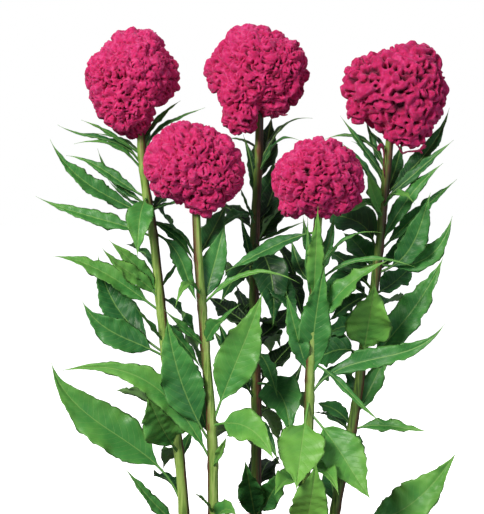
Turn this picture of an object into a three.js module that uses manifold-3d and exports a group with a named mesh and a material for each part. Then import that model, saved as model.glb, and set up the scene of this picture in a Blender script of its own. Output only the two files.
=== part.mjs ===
// A potted cockscomb celosia: five leafy stems, each with one crested flower head, in a plain clay pot.
// Millimetres, +Z up. The origin is the middle of the pot's base, and the plant is seen from -Y.
import * as THREE from "three";
import Module from "manifold-3d";
import { mergeVertices } from "three/addons/utils/BufferGeometryUtils.js";

const wasm = await Module();
wasm.setup();

// Driving dimensions of the pot and its soil
const POT_HEIGHT = 190;
const POT_RIM_RADIUS = 112;
const POT_FOOT_RADIUS = 78;
const WALL = 7;
const RIM_DEPTH = 34;
const RIM_PROUD = 5;
const FLOOR_THICKNESS = 9;
const FOOT_BEVEL = 2;
const RIM_BEVEL = 3;
const POT_SIDES = 28;
const DRAIN_RADIUS = 6;
const DRAIN_CIRCLE = 44;
const DRAIN_COUNT = 4;
const DRAIN_SIDES = 12;
const SOIL_BELOW_RIM = 12;
const SOIL_Z = POT_HEIGHT - SOIL_BELOW_RIM;
const SOIL_MOUND = 7;
const SOIL_SIDES = 22;
const SOIL_RINGS = [1, 0.82, 0.62, 0.4, 0.18]; // shares of the pot's inner radius
const CLOD_HEIGHT = 1.1;
const CLOD_SPAN = 6;
const CLEARANCE = 0.4; // between pieces that touch in the real thing
const SOIL_GAP = 1.2; // between the soil and the pot's many-sided wall
const HOLE_DEPTH = 48; // how far a stem stands in the soil

// Driving dimensions of the plant
const STEM_FOOT_RADIUS = 5.6;
const STEM_NECK_RADIUS = 4.0;
const STEM_SIDES = 8;
const STEM_STEPS = 12;
const BLADE_THICKNESS = 1.2;
const LEAF_STEPS = [4, 8]; // fewest and most cross-sections along a leaf
const PETIOLE_RADIUS = 1.3;
const BLADE_FOLD = 0.28; // how far an edge stands above the midrib, as a share of the half width
const EDGE_WAVE = 0.2; // how far an edge waves up and down, as a share of the half width
const EDGE_TOOTH = 0.09; // how far the outline cuts in and out, as a share of the half width
const FOLD_ROWS = 15; // rows of the crest's folds, from the neck to the crown
const FOLD_COLUMNS = 26;
const FOLD_DEPTH = 3.4;
const LONG_BENDS = 5; // times a fold swings up and down on its way round the head
const LONG_SWING = 0.14; // radians
const SHORT_BENDS = 8;
const SHORT_SWING = 0.09;
const RUFFLES = 11; // times a fold grows deeper and shallower on its way round
const LOBE_BLEND = 2.6; // how softly one lobe runs into the next

// Each plant gives the line of its stem, its flower head and its leaves.
// stem: points x, y and height above the soil, from the soil up to the neck.
// head: the middle of the flower head, and its lobes as spheres x, y, z, radius around that middle.
// leaves: height where the leaf leaves the stem, the tip's x, the tip's y from the stem and the tip's height,
// blade width, the side its upper face looks to (0 up, 90 to the front, -90 to the back), and how far
// the midrib's two inner control points stand above the straight line to the tip. A leaf with a long
// bare stalk also gives the stalk's share of its length.
const PLANTS = {
  left: {
    stem: [[-68, 4, 0], [-71, 5, 52], [-76, 6, 105], [-86, 7, 175], [-93, 8, 245], [-100, 8, 313],
      [-109, 8, 371], [-113, 8, 424]],
    head: [-121, 8, 467],
    lobes: [[-2, -4, 3, 37], [4, 4, 23, 29], [-13, -8, 1, 31], [19, 14, 4, 28], [-5, -10, -22, 29],
      [-1, 4, -36, 20]],
    leaves: [
      [393, -171, -14, 428, 7, 40, 1, 4],
      [380, -196, 6, 423, 9, 35, 24, -4],
      [376, -178, -18, 404, 7, 30, 16, 19],
      [392, -162, 40, 414, 6, 10, 12, 5],
      [330, -202, -14, 409, 20, 60, -8, -23],
      [350, -188, 10, 392, 12, 55, -2, 12],
      [342, -157, 24, 399, 11, 30, -10, -16],
      [332, -148, 36, 368, 10, -20, -1, -6],
      [310, -219, 12, 351, 16, 58, 5, -7],
      [350, -114, -42, 294, 27, 78, 22, 16],
      [251, -143, -24, 309, 18, 60, 5, 2],
      [245, -150, -34, 303, 18, 66, 10, -8],
      [235, -202, -6, 292, 23, 60, 6, 17],
      [193, -157, 20, 292, 36, 60, -18, -22],
      [189, -171, -8, 247, 32, 66, -1, -20],
      [204, -118, -40, 246, 7, 50, 0, 0],
      [26, -202, -12, 187, 47, 66, 45, -35, 0.28],
      [92, -104, -64, 162, 40, 80, -6, -6],
      [96, -93, 64, 65, 19, -30, 10, 10],
      [16, -129, -26, 83, 13, 60, -8, -3],
      [84, -61, 54, 113, 9, 20, 1, 0],
      [401, -73, 27, 447, 9, 20, 7, 6],
      [392, -48, 22, 440, 9, 20, 18, 8],
      [390, -106, 55, 429, 10, 40, -4, -6],
      [336, -58, 42, 343, 7, 15, 6, 4],
      [332, -71, 62, 352, 15, 30, 12, 11],
      [352, -73, 53, 310, 15, 40, 1, -2],
      [326, -56, 34, 283, 9, 30, 14, 13],
      [315, -56, 8, 244, 18, 50, 20, 2],
      [257, -72, 44, 288, 5, 30, 0, 1],
      [270, -130, 52, 300, 25, -30, 10, 10],
      [118, -142, 50, 150, 32, -35, 14, 10],
      [34, -104, 64, 58, 32, -30, 22, 16],
      [250, -54, 64, 194, 25, 40, 14, 5],
      [215, -51, 64, 165, 27, 30, 31, 16],
      [191, -56, 64, 146, 23, 20, 23, 17],
      [326, -60, 38, 283, 11, 60, 7, 9],
      [231, -52, 30, 173, 13, 60, -3, 3],
    ],
  },
  frontleft: {
    stem: [[-38, -46, 0], [-39.5, -48, 52], [-40, -50, 103], [-42, -51, 145], [-46, -53, 190],
      [-50, -55, 245], [-54, -57, 298], [-56, -58, 346]],
    head: [-58, -60, 383],
    lobes: [[-4, 0, 4, 38], [-11, -4, 2, 33], [-19, 6, -4, 26], [12, 2, 0, 32], [16, -8, 6, 26],
      [10, -3, -28, 19], [23, -6, -8, 24]],
    leaves: [
      [294, -26, 57, 345, 21, 40, 0, -1],
      [243, -27, 14, 329, 25, 70, 0, 0],
      [247, 45, -28, 271, 8, 45, 23, 31],
      [208, -28, -40, 236, 19, 60, 6, 8],
      [212, -12, -36, 252, 7, 50, 4, 4],
      [126, 9, -18, 262, 42, 75, 3, -3],
      [108, -84, -16, 238, 41, 75, -11, -11],
      [90, -192, -14, 183, 27, 62, 37, 60, 0.09],
      [128, 20, -64, 103, 35, 66, 20, 27],
      [86, -25, -53, 127, 8, 60, -1, -1],
      [40, -57, -60, 71, 9, 50, 4, 4],
      [207, -86, -37, 247, 9, 60, 0, -2],
      [257, -75, -61, 249, 10, 50, 23, 25],
      [30, -16, -52, 48, 21, 60, 12, 14],
      [114, -61, 48, 170, 19, 30, -5, -3],
    ],
  },
  back: {
    stem: [[4, 42, 0], [3.5, 43, 52], [3.5, 45, 145], [2, 46, 215], [1, 47, 275], [3, 48, 333],
      [6, 48, 394], [7, 48, 442]],
    head: [4, 48, 475],
    lobes: [[2, -2, 4, 39], [-7, 6, 15, 32], [18, -4, 4, 33], [-23, 8, 0, 28], [14, 4, -12, 31],
      [-19, -18, -22, 18], [-16, -17, -43, 18], [-4, 16, -10, 32]],
    leaves: [
      [382, 61, -4, 429, 8, 25, 7, 26],
      [372, 47, -39, 407, 9, 35, 9, 27],
      [358, 20, 58, 431, 27, 50, -4, -4],
      [317, 23, 47, 388, 23, 50, -6, -7],
      [340, -10, -8, 413, 11, 50, 5, 4],
      [397, -27, 47, 408, 4, 30, 6, 4],
      [310, 28, 33, 383, 21, 50, -6, -6],
      [300, 44, 42, 352, 21, -30, 4, 4],
      [320, -14, -48, 363, 8, 50, -1, -1],
      [314, -40, 63, 342, 19, 20, 4, 4],
      [330, -35, -64, 316, 18, 40, 9, 15],
      [299, 35, 60, 358, 25, 50, -7, -3],
      [302, 20, -44, 220, 36, 70, 30, 28],
      [281, -33, -62, 245, 19, 55, 13, 7],
      [272, -13, -29, 333, 9, 50, 0, 0],
      [216, -20, 64, 260, 25, -30, -3, -1],
      [244, 53, 64, 215, 34, 40, 36, 46],
      [293, 47, 63, 251, 21, 50, 31, 25],
      [202, 43, 64, 235, 23, 50, -5, -4],
      [190, 25, -56, 150, 16, 60, 17, 7],
      [158, 37, -64, 110, 44, 60, 26, 38],
      [153, 53, 50, 204, 23, 20, 4, 4],
      [139, -35, -30, 226, 28, 45, -4, -5],
      [244, -16, 64, 191, 21, 50, 14, 14],
      [12, -8, -64, 90, 27, 70, 0, -1],
      [20, 35, -64, 81, 25, 60, 0, 2],
      [250, -30, 62, 262, 29, -30, 20, 20],
      [180, 20, 92, 176, 36, 0, 34, 30],
      [120, 62, 62, 116, 34, -20, 28, 26],
      [90, -48, 60, 88, 34, -30, 24, 22],
      [36, 24, 84, 62, 32, 0, 26, 22],
      [221, 30, 64, 185, 21, 30, 17, 13],
      [266, 44, -64, 223, 27, 45, 17, 24],
      [206, -32, 64, 242, 25, 40, -2, 0],
      [178, -40, 64, 147, 25, 20, 21, 25],
      [215, -48, 64, 242, 25, 50, -2, 1],
      [141, 29, 64, 86, 25, 20, 8, 4],
      [126, 52, 30, 181, 15, 60, -11, -16],
      [170, -42, 41, 211, 15, 60, -6, -7],
      [303, 53, -30, 326, 7, 40, -2, 0],
      [127, 26, -41, 83, 10, 70, 3, 2],
    ],
  },
  frontright: {
    stem: [[46, -40, 0], [49, -42, 52], [54, -44, 115], [56, -46, 188], [58.5, -48, 245], [61, -50, 300],
      [64, -52, 342]],
    head: [64, -54, 371],
    lobes: [[0, 0, 2, 36], [-11, -4, 0, 32], [8, 2, 2, 32], [2, 0, -12, 24], [-23, -6, -22, 15],
      [21, -4, -11, 20], [0, 10, -2, 31]],
    leaves: [
      [319, -31, -8, 279, 19, 45, 9, 1],
      [246, 62, -40, 346, 17, 80, -2, -2],
      [244, 53, -6, 335, 7, 70, -4, -3],
      [151, 70, -24, 293, 32, 80, 8, 7],
      [173, 32, -14, 262, 20, 72, -1, -2],
      [155, 187, -22, 232, 22, 60, 34, -29, 0.16],
      [191, 128, -22, 132, 8, 50, 9, -4],
      [141, 114, -42, 61, 45, 66, 7, 0],
      [12, 60, -64, 103, 38, 70, -10, -12],
      [155, 41, -62, 74, 48, 62, 5, 4, 0.3],
      [277, 125, -14, 319, 7, 30, 11, 23],
      [266, 159, -16, 285, 7, 40, 24, 21],
      [86, 82, -64, 69, 23, 30, 9, 22],
      [60, 20, -50, 66, 27, 50, 20, 20],
      [220, 132, -22, 293, 23, 50, 12, 13],
      [268, 80, 20, 336, 13, 40, -5, -6],
      [290, 50, 53, 332, 12, 40, -7, -9],
      [270, 38, 55, 310, 15, 30, -17, -12],
    ],
  },
  right: {
    stem: [[79, 6, 0], [85, 7, 45], [96, 8, 95], [106, 9, 155], [112, 10, 204], [119, 11, 240],
      [126, 12, 290], [131, 12, 345], [138, 12, 418]],
    head: [142, 12, 453],
    lobes: [[2, 0, 5, 39], [17, 4, 22, 29], [-21, -4, 9, 31], [-37, -6, -15, 12], [18, 2, 0, 34],
      [12, -4, -27, 25], [0, 12, -4, 34]],
    leaves: [
      [368, 87, -8, 432, 9, 40, 0, 0],
      [376, 114, 27, 430, 8, 20, -5, -4],
      [380, 70, 14, 407, 7, 35, 20, 24],
      [358, 100, 30, 406, 9, 20, 8, 13],
      [352, 86, -22, 406, 8, 45, 1, 6],
      [330, 111, -57, 379, 16, 60, -3, -2],
      [350, 153, 48, 407, 17, 40, -6, -7],
      [350, 199, 28, 440, 18, 45, -4, -18],
      [347, 200, -12, 408, 12, 55, 0, 0],
      [299, 190, -10, 385, 18, 55, 8, 10],
      [339, 158, -62, 346, 11, 50, 17, 17],
      [295, 206, 14, 368, 17, 45, 2, 1],
      [274, 177, -16, 356, 26, 72, -27, -9],
      [277, 165, 49, 325, 18, 20, -13, -9],
      [271, 93, 64, 311, 27, 50, 10, 7],
      [252, 168, 64, 280, 27, 50, -5, -4],
      [283, 200, -2, 332, 22, 60, -29, -29],
      [172, 191, -8, 292, 32, 62, -2, -12],
      [184, 119, -64, 270, 47, 80, -2, -3],
      [284, 67, 37, 222, 25, 66, 16, 17],
      [190, 60, 45, 179, 39, 55, 17, 7],
      [285, 72, 64, 333, 40, 55, 40, 9],
      [255, 75, 64, 293, 28, 40, 6, 7],
      [245, 71, 64, 243, 23, 20, 19, 24],
      [221, 72, 64, 200, 32, 55, 6, 11],
      [160, 65, 64, 152, 23, 40, 27, 14],
      [325, 83, -60, 336, 15, 40, 32, 8],
      [392, 121, 54, 416, 6, 30, 2, 1],
      [126, 138, 14, 201, 21, 50, -3, -3],
      [115, 177, -18, 117, 15, 50, 12, 0],
      [112, 63, 64, 124, 19, 0, 9, 8],
      [36, 78, 64, 74, 23, 30, 1, 0],
      [24, 204, -24, 98, 42, 62, -40, -24],
      [300, 144, 60, 316, 25, -30, 14, 12],
      [220, 160, 66, 238, 32, -30, 18, 16],
      [140, 122, 72, 152, 34, -20, 18, 16],
      [70, 104, 76, 92, 32, -30, 22, 20],
      [251, 78, 62, 219, 19, 60, 9, 3],
      [117, 66, 64, 135, 17, 60, 12, 4],
    ],
  },
};

const LEAF_GREEN = new THREE.MeshStandardMaterial({ color: 0x3f8f3a, roughness: 0.6, metalness: 0 });
const CREST_PINK = new THREE.MeshStandardMaterial({ color: 0xd01a62, roughness: 0.85, metalness: 0 });
const CLAY = new THREE.MeshStandardMaterial({ color: 0xb5633c, roughness: 0.9, metalness: 0 });
const SOIL = new THREE.MeshStandardMaterial({ color: 0x2e2019, roughness: 1, metalness: 0 });

// A closed skin through rings of points. A ring of one point closes an end, and any other end gets a
// flat cap. The diagonals alternate, so a thin blade is split alike on both of its faces.
function loft(rings) {
  const points = rings.flat();
  const starts = [];
  rings.reduce((sum, ring, i) => {
    starts[i] = sum;
    return sum + ring.length;
  }, 0);
  const faces = [];
  for (let i = 0; i + 1 < rings.length; i++) {
    const [low, high] = [rings[i].length, rings[i + 1].length];
    const columns = Math.max(low, high);
    for (let j = 0; j < columns; j++) {
      const k = (j + 1) % columns;
      const [a, b] = low === 1 ? [starts[i], starts[i]] : [starts[i] + j, starts[i] + k];
      const [d, c] = high === 1 ? [starts[i + 1], starts[i + 1]] : [starts[i + 1] + j, starts[i + 1] + k];
      if (low === 1) faces.push([a, c, d]);
      else if (high === 1) faces.push([a, b, c]);
      else if (j % 2) faces.push([a, b, c], [a, c, d]);
      else faces.push([a, b, d], [b, c, d]);
    }
  }
  const last = rings.length - 1;
  const [foot, head] = [starts[0], starts[last]];
  for (let j = 1; j + 1 < rings[0].length; j++) faces.push([foot, foot + j + 1, foot + j]);
  for (let j = 1; j + 1 < rings[last].length; j++) faces.push([head, head + j, head + j + 1]);
  return solidFrom(points.flatMap((p) => [p.x, p.y, p.z]), faces.flat());
}

// A solid from shared vertices, turned the right way out.
function solidFrom(vertices, triangles) {
  const make = (triVerts) =>
    new wasm.Manifold(new wasm.Mesh({ numProp: 3, vertProperties: new Float32Array(vertices), triVerts }));
  const solid = make(new Uint32Array(triangles));
  if (solid.volume() > 0) return solid;
  const turned = new Uint32Array(triangles);
  for (let i = 0; i < turned.length; i += 3) [turned[i + 1], turned[i + 2]] = [turned[i + 2], turned[i + 1]];
  return make(turned);
}

// A solid from a three.js geometry.
function solidOf(geometry) {
  geometry.deleteAttribute("normal");
  geometry.deleteAttribute("uv");
  const merged = mergeVertices(geometry, 1e-4);
  return solidFrom([...merged.attributes.position.array], [...merged.index.array]);
}

// Solids joined to one skin. Where thin leaves cross they can close in a small pocket: those are filled.
function joined(solids) {
  const skins = wasm.Manifold.union(solids).decompose();
  return wasm.Manifold.compose(skins.filter((skin) => skin.volume() > 0));
}

function meshOf(name, solid, material) {
  const { vertProperties, triVerts } = solid.getMesh();
  const geometry = new THREE.BufferGeometry();
  geometry.setAttribute("position", new THREE.BufferAttribute(vertProperties, 3));
  geometry.setIndex(new THREE.BufferAttribute(triVerts, 1));
  geometry.computeVertexNormals();
  const mesh = new THREE.Mesh(geometry, material);
  mesh.name = name;
  return mesh;
}

// The stem's middle line, from the soil's surface up.
function stemLine(plant) {
  return new THREE.CatmullRomCurve3(plant.stem.map(([x, y, h]) => new THREE.Vector3(x, y, SOIL_Z + h)));
}

// The point of the stem's middle line at a height above the soil, found by halving.
function stemAt(line, height) {
  let [low, high] = [0, 1];
  for (let step = 0; step < 24; step++) {
    const middle = (low + high) / 2;
    if (line.getPoint(middle).z < SOIL_Z + height) low = middle;
    else high = middle;
  }
  return line.getPoint(low);
}

function ringAround(centre, radius, sides, turn = 0) {
  return Array.from({ length: sides }, (_, j) => {
    const angle = turn + (2 * Math.PI * j) / sides;
    return new THREE.Vector3(
      centre.x + radius * Math.cos(angle), centre.y + radius * Math.sin(angle), centre.z);
  });
}

// A stem is a slightly tapering ribbed rod. It stands HOLE_DEPTH deep in the soil.
function stemSolid(line, extra = 0) {
  const foot = line.getPoint(0).setZ(SOIL_Z - HOLE_DEPTH - extra);
  const rings = [ringAround(foot, STEM_FOOT_RADIUS + extra, STEM_SIDES)];
  for (let i = 0; i <= STEM_STEPS; i++) {
    const share = i / STEM_STEPS;
    const radius = THREE.MathUtils.lerp(STEM_FOOT_RADIUS, STEM_NECK_RADIUS, share) + extra;
    const centre = line.getPoint(share);
    if (i === STEM_STEPS) centre.z += extra;
    rings.push(ringAround(centre, radius, STEM_SIDES));
  }
  return loft(rings);
}

// How wide a blade is along its length: drawn out to a stalk below and to a long point above.
function bladeShare(u) {
  const [rise, fall] = [1.05, 1.7];
  const widest = rise / (rise + fall);
  return (Math.pow(u, rise) * Math.pow(1 - u, fall)) / (Math.pow(widest, rise) * Math.pow(1 - widest, fall));
}

// A leaf is a thin folded blade with waved, cut edges, on a stalk that starts inside the stem.
function leafSolid(line, [at, tipX, tipY, tipHeight, width, face, riseLow, riseHigh, bare]) {
  const root = stemAt(line, at);
  const tip = new THREE.Vector3(tipX, root.y + tipY, SOIL_Z + tipHeight);
  const chord = tip.clone().sub(root);
  const along = chord.clone().normalize();
  const up = new THREE.Vector3(0, 0, 1).addScaledVector(along, -along.z).normalize();
  const midrib = new THREE.CubicBezierCurve3(
    root,
    root.clone().addScaledVector(chord, 1 / 3).addScaledVector(up, riseLow),
    root.clone().addScaledVector(chord, 2 / 3).addScaledVector(up, riseHigh),
    tip);
  const length = midrib.getLength();
  const turn = THREE.MathUtils.degToRad(face);
  const look = new THREE.Vector3(0, -Math.sin(turn), Math.cos(turn));
  const stalk = bare ?? THREE.MathUtils.clamp(0.06 + width / 300, 0.08, 0.2);
  const steps = THREE.MathUtils.clamp(Math.round(length / (7 + width / 3)), ...LEAF_STEPS);
  const rings = [];
  for (let i = 0; i < steps; i++) {
    const t = i === 0 ? 0.004 : stalk * 0.6 + (1 - stalk * 0.6) * ((i - 0.6) / (steps - 0.6));
    const centre = midrib.getPoint(t);
    const ahead = midrib.getTangent(t);
    const normal = look.clone().addScaledVector(ahead, -look.dot(ahead)).normalize();
    const side = ahead.clone().cross(normal);
    const half = (width / 2) * bladeShare(Math.max(0, (t - stalk) / (1 - stalk)));
    const wave = i % 2 ? 1 : -1;
    const thick = THREE.MathUtils.lerp(PETIOLE_RADIUS, BLADE_THICKNESS / 2, Math.min(1, half / 4));
    const reach = (sign) => Math.max(PETIOLE_RADIUS, half * (1 + EDGE_TOOTH * wave * sign));
    const lift = (sign) => half * (BLADE_FOLD + EDGE_WAVE * wave * sign);
    rings.push([
      centre.clone().addScaledVector(side, -reach(1)).addScaledVector(normal, lift(1)),
      centre.clone().addScaledVector(normal, -thick),
      centre.clone().addScaledVector(side, reach(-1)).addScaledVector(normal, lift(-1)),
      centre.clone().addScaledVector(normal, thick),
    ]);
  }
  rings.push([tip]);
  return loft(rings);
}

// How far the flower head reaches from its middle in one direction: the lobes' spheres, blended.
function headReach(lobes, direction) {
  let sum = 0;
  for (const [x, y, z, radius] of lobes) {
    const ahead = direction.x * x + direction.y * y + direction.z * z;
    const inside = radius * radius - (x * x + y * y + z * z) + ahead * ahead;
    if (inside > 0) sum += Math.exp((ahead + Math.sqrt(inside)) / LOBE_BLEND);
  }
  return LOBE_BLEND * Math.log(sum);
}

// A flower head is a crest folded again and again: wavy ridges with grooves between them, over the lobes.
function headSolid(plant, index) {
  const middle = new THREE.Vector3(plant.head[0], plant.head[1], SOIL_Z + plant.head[2]);
  const place = (polar, around, rise) => {
    const direction = new THREE.Vector3(
      Math.sin(polar) * Math.cos(around), Math.sin(polar) * Math.sin(around), -Math.cos(polar));
    return middle.clone().addScaledVector(direction, headReach(plant.lobes, direction) + rise);
  };
  const rings = [[place(0, 0, 0)]];
  for (let i = 1; i < FOLD_ROWS; i++) {
    rings.push(Array.from({ length: FOLD_COLUMNS }, (_, j) => {
      const around = (2 * Math.PI * j) / FOLD_COLUMNS + index;
      const row = (Math.PI * i) / FOLD_ROWS;
      const meander = LONG_SWING * Math.sin(LONG_BENDS * around + 2 * index) +
        SHORT_SWING * Math.sin(SHORT_BENDS * around + 3 * row + index);
      const polar = row + meander * Math.sin(row);
      const ruffle = 0.75 + 0.45 * Math.sin(RUFFLES * around + 2.4 * i + index);
      return place(polar, around, (i % 2 ? 1 : -1) * FOLD_DEPTH * ruffle);
    }));
  }
  rings.push([place(Math.PI, 0, 0)]);
  return loft(rings);
}

// The pot's wall is turned round its axis, with a deep rim and a flat foot.
function potSolid() {
  const slope = (z) => THREE.MathUtils.lerp(POT_FOOT_RADIUS, POT_RIM_RADIUS - RIM_PROUD, z / POT_HEIGHT);
  const rimFoot = POT_HEIGHT - RIM_DEPTH;
  const inner = POT_RIM_RADIUS - RIM_PROUD - WALL;
  const profile = [
    [0, 0], [POT_FOOT_RADIUS - FOOT_BEVEL, 0], [POT_FOOT_RADIUS, FOOT_BEVEL], [slope(rimFoot), rimFoot],
    [POT_RIM_RADIUS - RIM_BEVEL, rimFoot], [POT_RIM_RADIUS, rimFoot + RIM_BEVEL],
    [POT_RIM_RADIUS, POT_HEIGHT - RIM_BEVEL], [POT_RIM_RADIUS - RIM_BEVEL, POT_HEIGHT],
    [inner + RIM_BEVEL, POT_HEIGHT], [inner, POT_HEIGHT - RIM_BEVEL],
    [slope(FLOOR_THICKNESS) - WALL, FLOOR_THICKNESS], [0, FLOOR_THICKNESS],
  ].map(([r, z]) => new THREE.Vector2(r, z));
  const wall = solidOf(new THREE.LatheGeometry(profile, POT_SIDES).rotateX(Math.PI / 2));
  const drains = Array.from({ length: DRAIN_COUNT }, (_, i) => {
    const angle = (2 * Math.PI * (i + 0.5)) / DRAIN_COUNT;
    const drill = new THREE.CylinderGeometry(DRAIN_RADIUS, DRAIN_RADIUS, 4 * FLOOR_THICKNESS, DRAIN_SIDES);
    return solidOf(drill.rotateX(Math.PI / 2).translate(
      DRAIN_CIRCLE * Math.cos(angle), DRAIN_CIRCLE * Math.sin(angle), 0));
  });
  return wasm.Manifold.difference([wall, ...drains]);
}

// The soil fills the pot to just under the rim, and its top is a low uneven mound.
function soilSolid(holes) {
  const wallAt = (z) => THREE.MathUtils.lerp(
    POT_FOOT_RADIUS, POT_RIM_RADIUS - RIM_PROUD, z / POT_HEIGHT) - WALL - SOIL_GAP;
  const low = FLOOR_THICKNESS + CLEARANCE;
  const centre = (z) => new THREE.Vector3(0, 0, z);
  const rings = [[centre(low)], ringAround(centre(low), wallAt(low), SOIL_SIDES)];
  for (const share of SOIL_RINGS) {
    const ring = ringAround(centre(SOIL_Z), wallAt(SOIL_Z - SOIL_MOUND) * share, SOIL_SIDES);
    for (const p of ring) {
      const clod = CLOD_HEIGHT * Math.sin(p.x / CLOD_SPAN) * Math.cos((p.x + 2 * p.y) / CLOD_SPAN);
      p.z += (1 / 2 - share * share) * SOIL_MOUND + clod;
    }
    rings.push(ring);
  }
  rings.push([centre(SOIL_Z + SOIL_MOUND / 2)]);
  return wasm.Manifold.difference([loft(rings), ...holes]);
}

const plant = new THREE.Group();
plant.name = "potted_celosia";
const holes = [];
for (const [index, [name, parts]] of Object.entries(PLANTS).entries()) {
  const line = stemLine(parts);
  const leaves = parts.leaves.map((leaf) => leafSolid(line, leaf));
  const stem = stemSolid(line);
  const room = stemSolid(line, CLEARANCE);
  const head = headSolid(parts, index + 1).subtract(room);
  holes.push(room);
  plant.add(meshOf(`leafy_stem_${name}`, joined([stem, ...leaves]), LEAF_GREEN));
  plant.add(meshOf(`flower_head_${name}`, head, CREST_PINK));
}
plant.add(meshOf("pot", potSolid(), CLAY));
plant.add(meshOf("soil", soilSolid(holes), SOIL));

export default plant;
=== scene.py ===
# %% [markdown]
# # A potted cockscomb celosia
# Five leafy stems stand in the soil of a clay pot, and each carries one crested flower head. The solids
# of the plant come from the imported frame. They are plain and many-sided, so this lesson dresses each one
# with a finer mesh in the same place, and gives it a finish made of shader nodes.

# %% Load the frame
import math

import bmesh
import bpy
import numpy as np
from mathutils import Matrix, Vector, noise


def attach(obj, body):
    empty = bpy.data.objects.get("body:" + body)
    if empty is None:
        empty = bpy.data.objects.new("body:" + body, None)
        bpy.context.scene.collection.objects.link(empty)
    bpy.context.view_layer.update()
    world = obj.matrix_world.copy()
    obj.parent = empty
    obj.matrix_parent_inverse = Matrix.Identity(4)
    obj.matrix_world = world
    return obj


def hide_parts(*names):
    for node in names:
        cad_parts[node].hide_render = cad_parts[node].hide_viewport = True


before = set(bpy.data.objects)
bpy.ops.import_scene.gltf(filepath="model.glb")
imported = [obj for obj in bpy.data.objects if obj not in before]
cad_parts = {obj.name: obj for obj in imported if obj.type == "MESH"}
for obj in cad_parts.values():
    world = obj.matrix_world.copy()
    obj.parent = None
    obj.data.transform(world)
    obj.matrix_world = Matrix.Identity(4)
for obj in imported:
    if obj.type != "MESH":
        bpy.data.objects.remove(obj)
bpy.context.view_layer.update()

MM = 0.001
print("nodes in the frame:", len(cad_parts))

# %% [markdown]
# ## The camera
# The picture was taken from the front, a little above the middle of the plant, and from far enough away
# that the stems look parallel. A long lens far back gives that. One pixel of the picture is one
# millimetre in the plane through the pot's axis, so the lens follows from the distance and the width.

# %% Camera
PHOTO_WIDTH = 484 * MM
CAMERA_DISTANCE = 2.3
CAMERA_RISE = math.radians(4)
CAMERA_TARGET = Vector((-11, 0, 469)) * MM
SENSOR = 36

camera = bpy.data.objects.new("camera", bpy.data.cameras.new("camera"))
camera.data.sensor_fit = "HORIZONTAL"
camera.data.sensor_width = SENSOR
camera.data.lens = SENSOR * CAMERA_DISTANCE / PHOTO_WIDTH
back = Vector((0, -math.cos(CAMERA_RISE), math.sin(CAMERA_RISE)))
camera.location = CAMERA_TARGET + back * CAMERA_DISTANCE
camera.rotation_euler = (-back).to_track_quat("-Z", "Y").to_euler()
bpy.context.scene.collection.objects.link(camera)
bpy.context.scene.camera = camera
print("lens in mm:", round(camera.data.lens, 1))

# %% [markdown]
# ## Colours and nodes
# Colours are written as sRGB hex values, as a paint program shows them. Blender's shaders count in linear
# light, so one function turns a hex value into linear numbers. Other small functions add a node, set it up
# and link its inputs, so a material reads as a list of its steps.


# %% Colour and node helpers
def linear(hex_colour):
    """The linear RGBA of an sRGB hex value such as #D3346E."""
    shares = [int(hex_colour[i:i + 2], 16) / 255 for i in (1, 3, 5)]
    return [c / 12.92 if c <= 0.04045 else ((c + 0.055) / 1.055) ** 2.4 for c in shares] + [1]


def add_node(tree, kind, inputs=None, **settings):
    """A node of a tree, with its settings, and its inputs set to values or linked to sockets."""
    made = tree.nodes.new(kind)
    for key, value in settings.items():
        setattr(made, key, value)
    for key, value in (inputs or {}).items():
        if isinstance(value, bpy.types.NodeSocket):
            tree.links.new(value, made.inputs[key])
        else:
            made.inputs[key].default_value = value
    return made


def calculate(tree, operation, *values):
    """The result of a Math node, from numbers and sockets."""
    return add_node(tree, "ShaderNodeMath", dict(enumerate(values)), operation=operation).outputs[0]


def read_marks(tree):
    """The numbers kept on a mesh's points, as sockets called Red, Green and Blue."""
    kept = add_node(tree, "ShaderNodeAttribute", attribute_name="marks")
    return add_node(tree, "ShaderNodeSeparateColor", {0: kept.outputs["Color"]}).outputs


def new_finish(name):
    """An empty material, its node tree and its output node."""
    made = bpy.data.materials.new(name)
    made.use_nodes = True
    made.node_tree.nodes.clear()
    return made, made.node_tree, made.node_tree.nodes.new("ShaderNodeOutputMaterial")


def set_stops(ramp, stops):
    """Gives a colour ramp its stops, as pairs of a place and a hex value."""
    band = ramp.color_ramp.elements
    while len(band) < len(stops):
        band.new(0.5)
    for stop, (place, hex_colour) in zip(band, sorted(stops)):
        stop.position = place
        stop.color = linear(hex_colour)
    return ramp


print("white in linear light:", linear("#FFFFFF"))

# %% [markdown]
# ## The studio
# The plant was photographed on white with a large soft light from the upper left, near the camera. The
# near leaves are bright and the middle of the bunch falls off to almost black, so the light on the other
# side is weak. One behind shows the backs of the leaves, without a glint on them from the front. A white
# dome that only the camera sees gives the white ground without lighting the plant. A pale floor carries
# the pot, and it has a painted glow, weaker near the pot, so that it fades into the white away from the
# pot's soft shadow.

# %% Dome, floor and lights
DOME_RADIUS = 9
FLOOR_RADIUS = 8.9
SHADOW_NEAR, SHADOW_FAR = 0.25, 1.1  # metres from the pot's axis, between which the floor turns white


def stage_piece(name, build, finish):
    """A floor or backdrop, made by a bmesh call."""
    shape = bmesh.new()
    build(shape)
    mesh = bpy.data.meshes.new(name)
    shape.to_mesh(mesh)
    shape.free()
    mesh.materials.append(finish)
    made = bpy.data.objects.new(name, mesh)
    bpy.context.scene.collection.objects.link(made)
    return made


dome_finish, tree, out = new_finish("white_dome")
glow = add_node(tree, "ShaderNodeEmission", {"Color": linear("#FFFFFF"), "Strength": 1.0})
tree.links.new(glow.outputs[0], out.inputs["Surface"])
dome = stage_piece("dome", lambda shape: bmesh.ops.create_uvsphere(
    shape, u_segments=48, v_segments=24, radius=DOME_RADIUS), dome_finish)
dome.visible_diffuse = dome.visible_glossy = dome.visible_shadow = dome.visible_transmission = False

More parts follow.
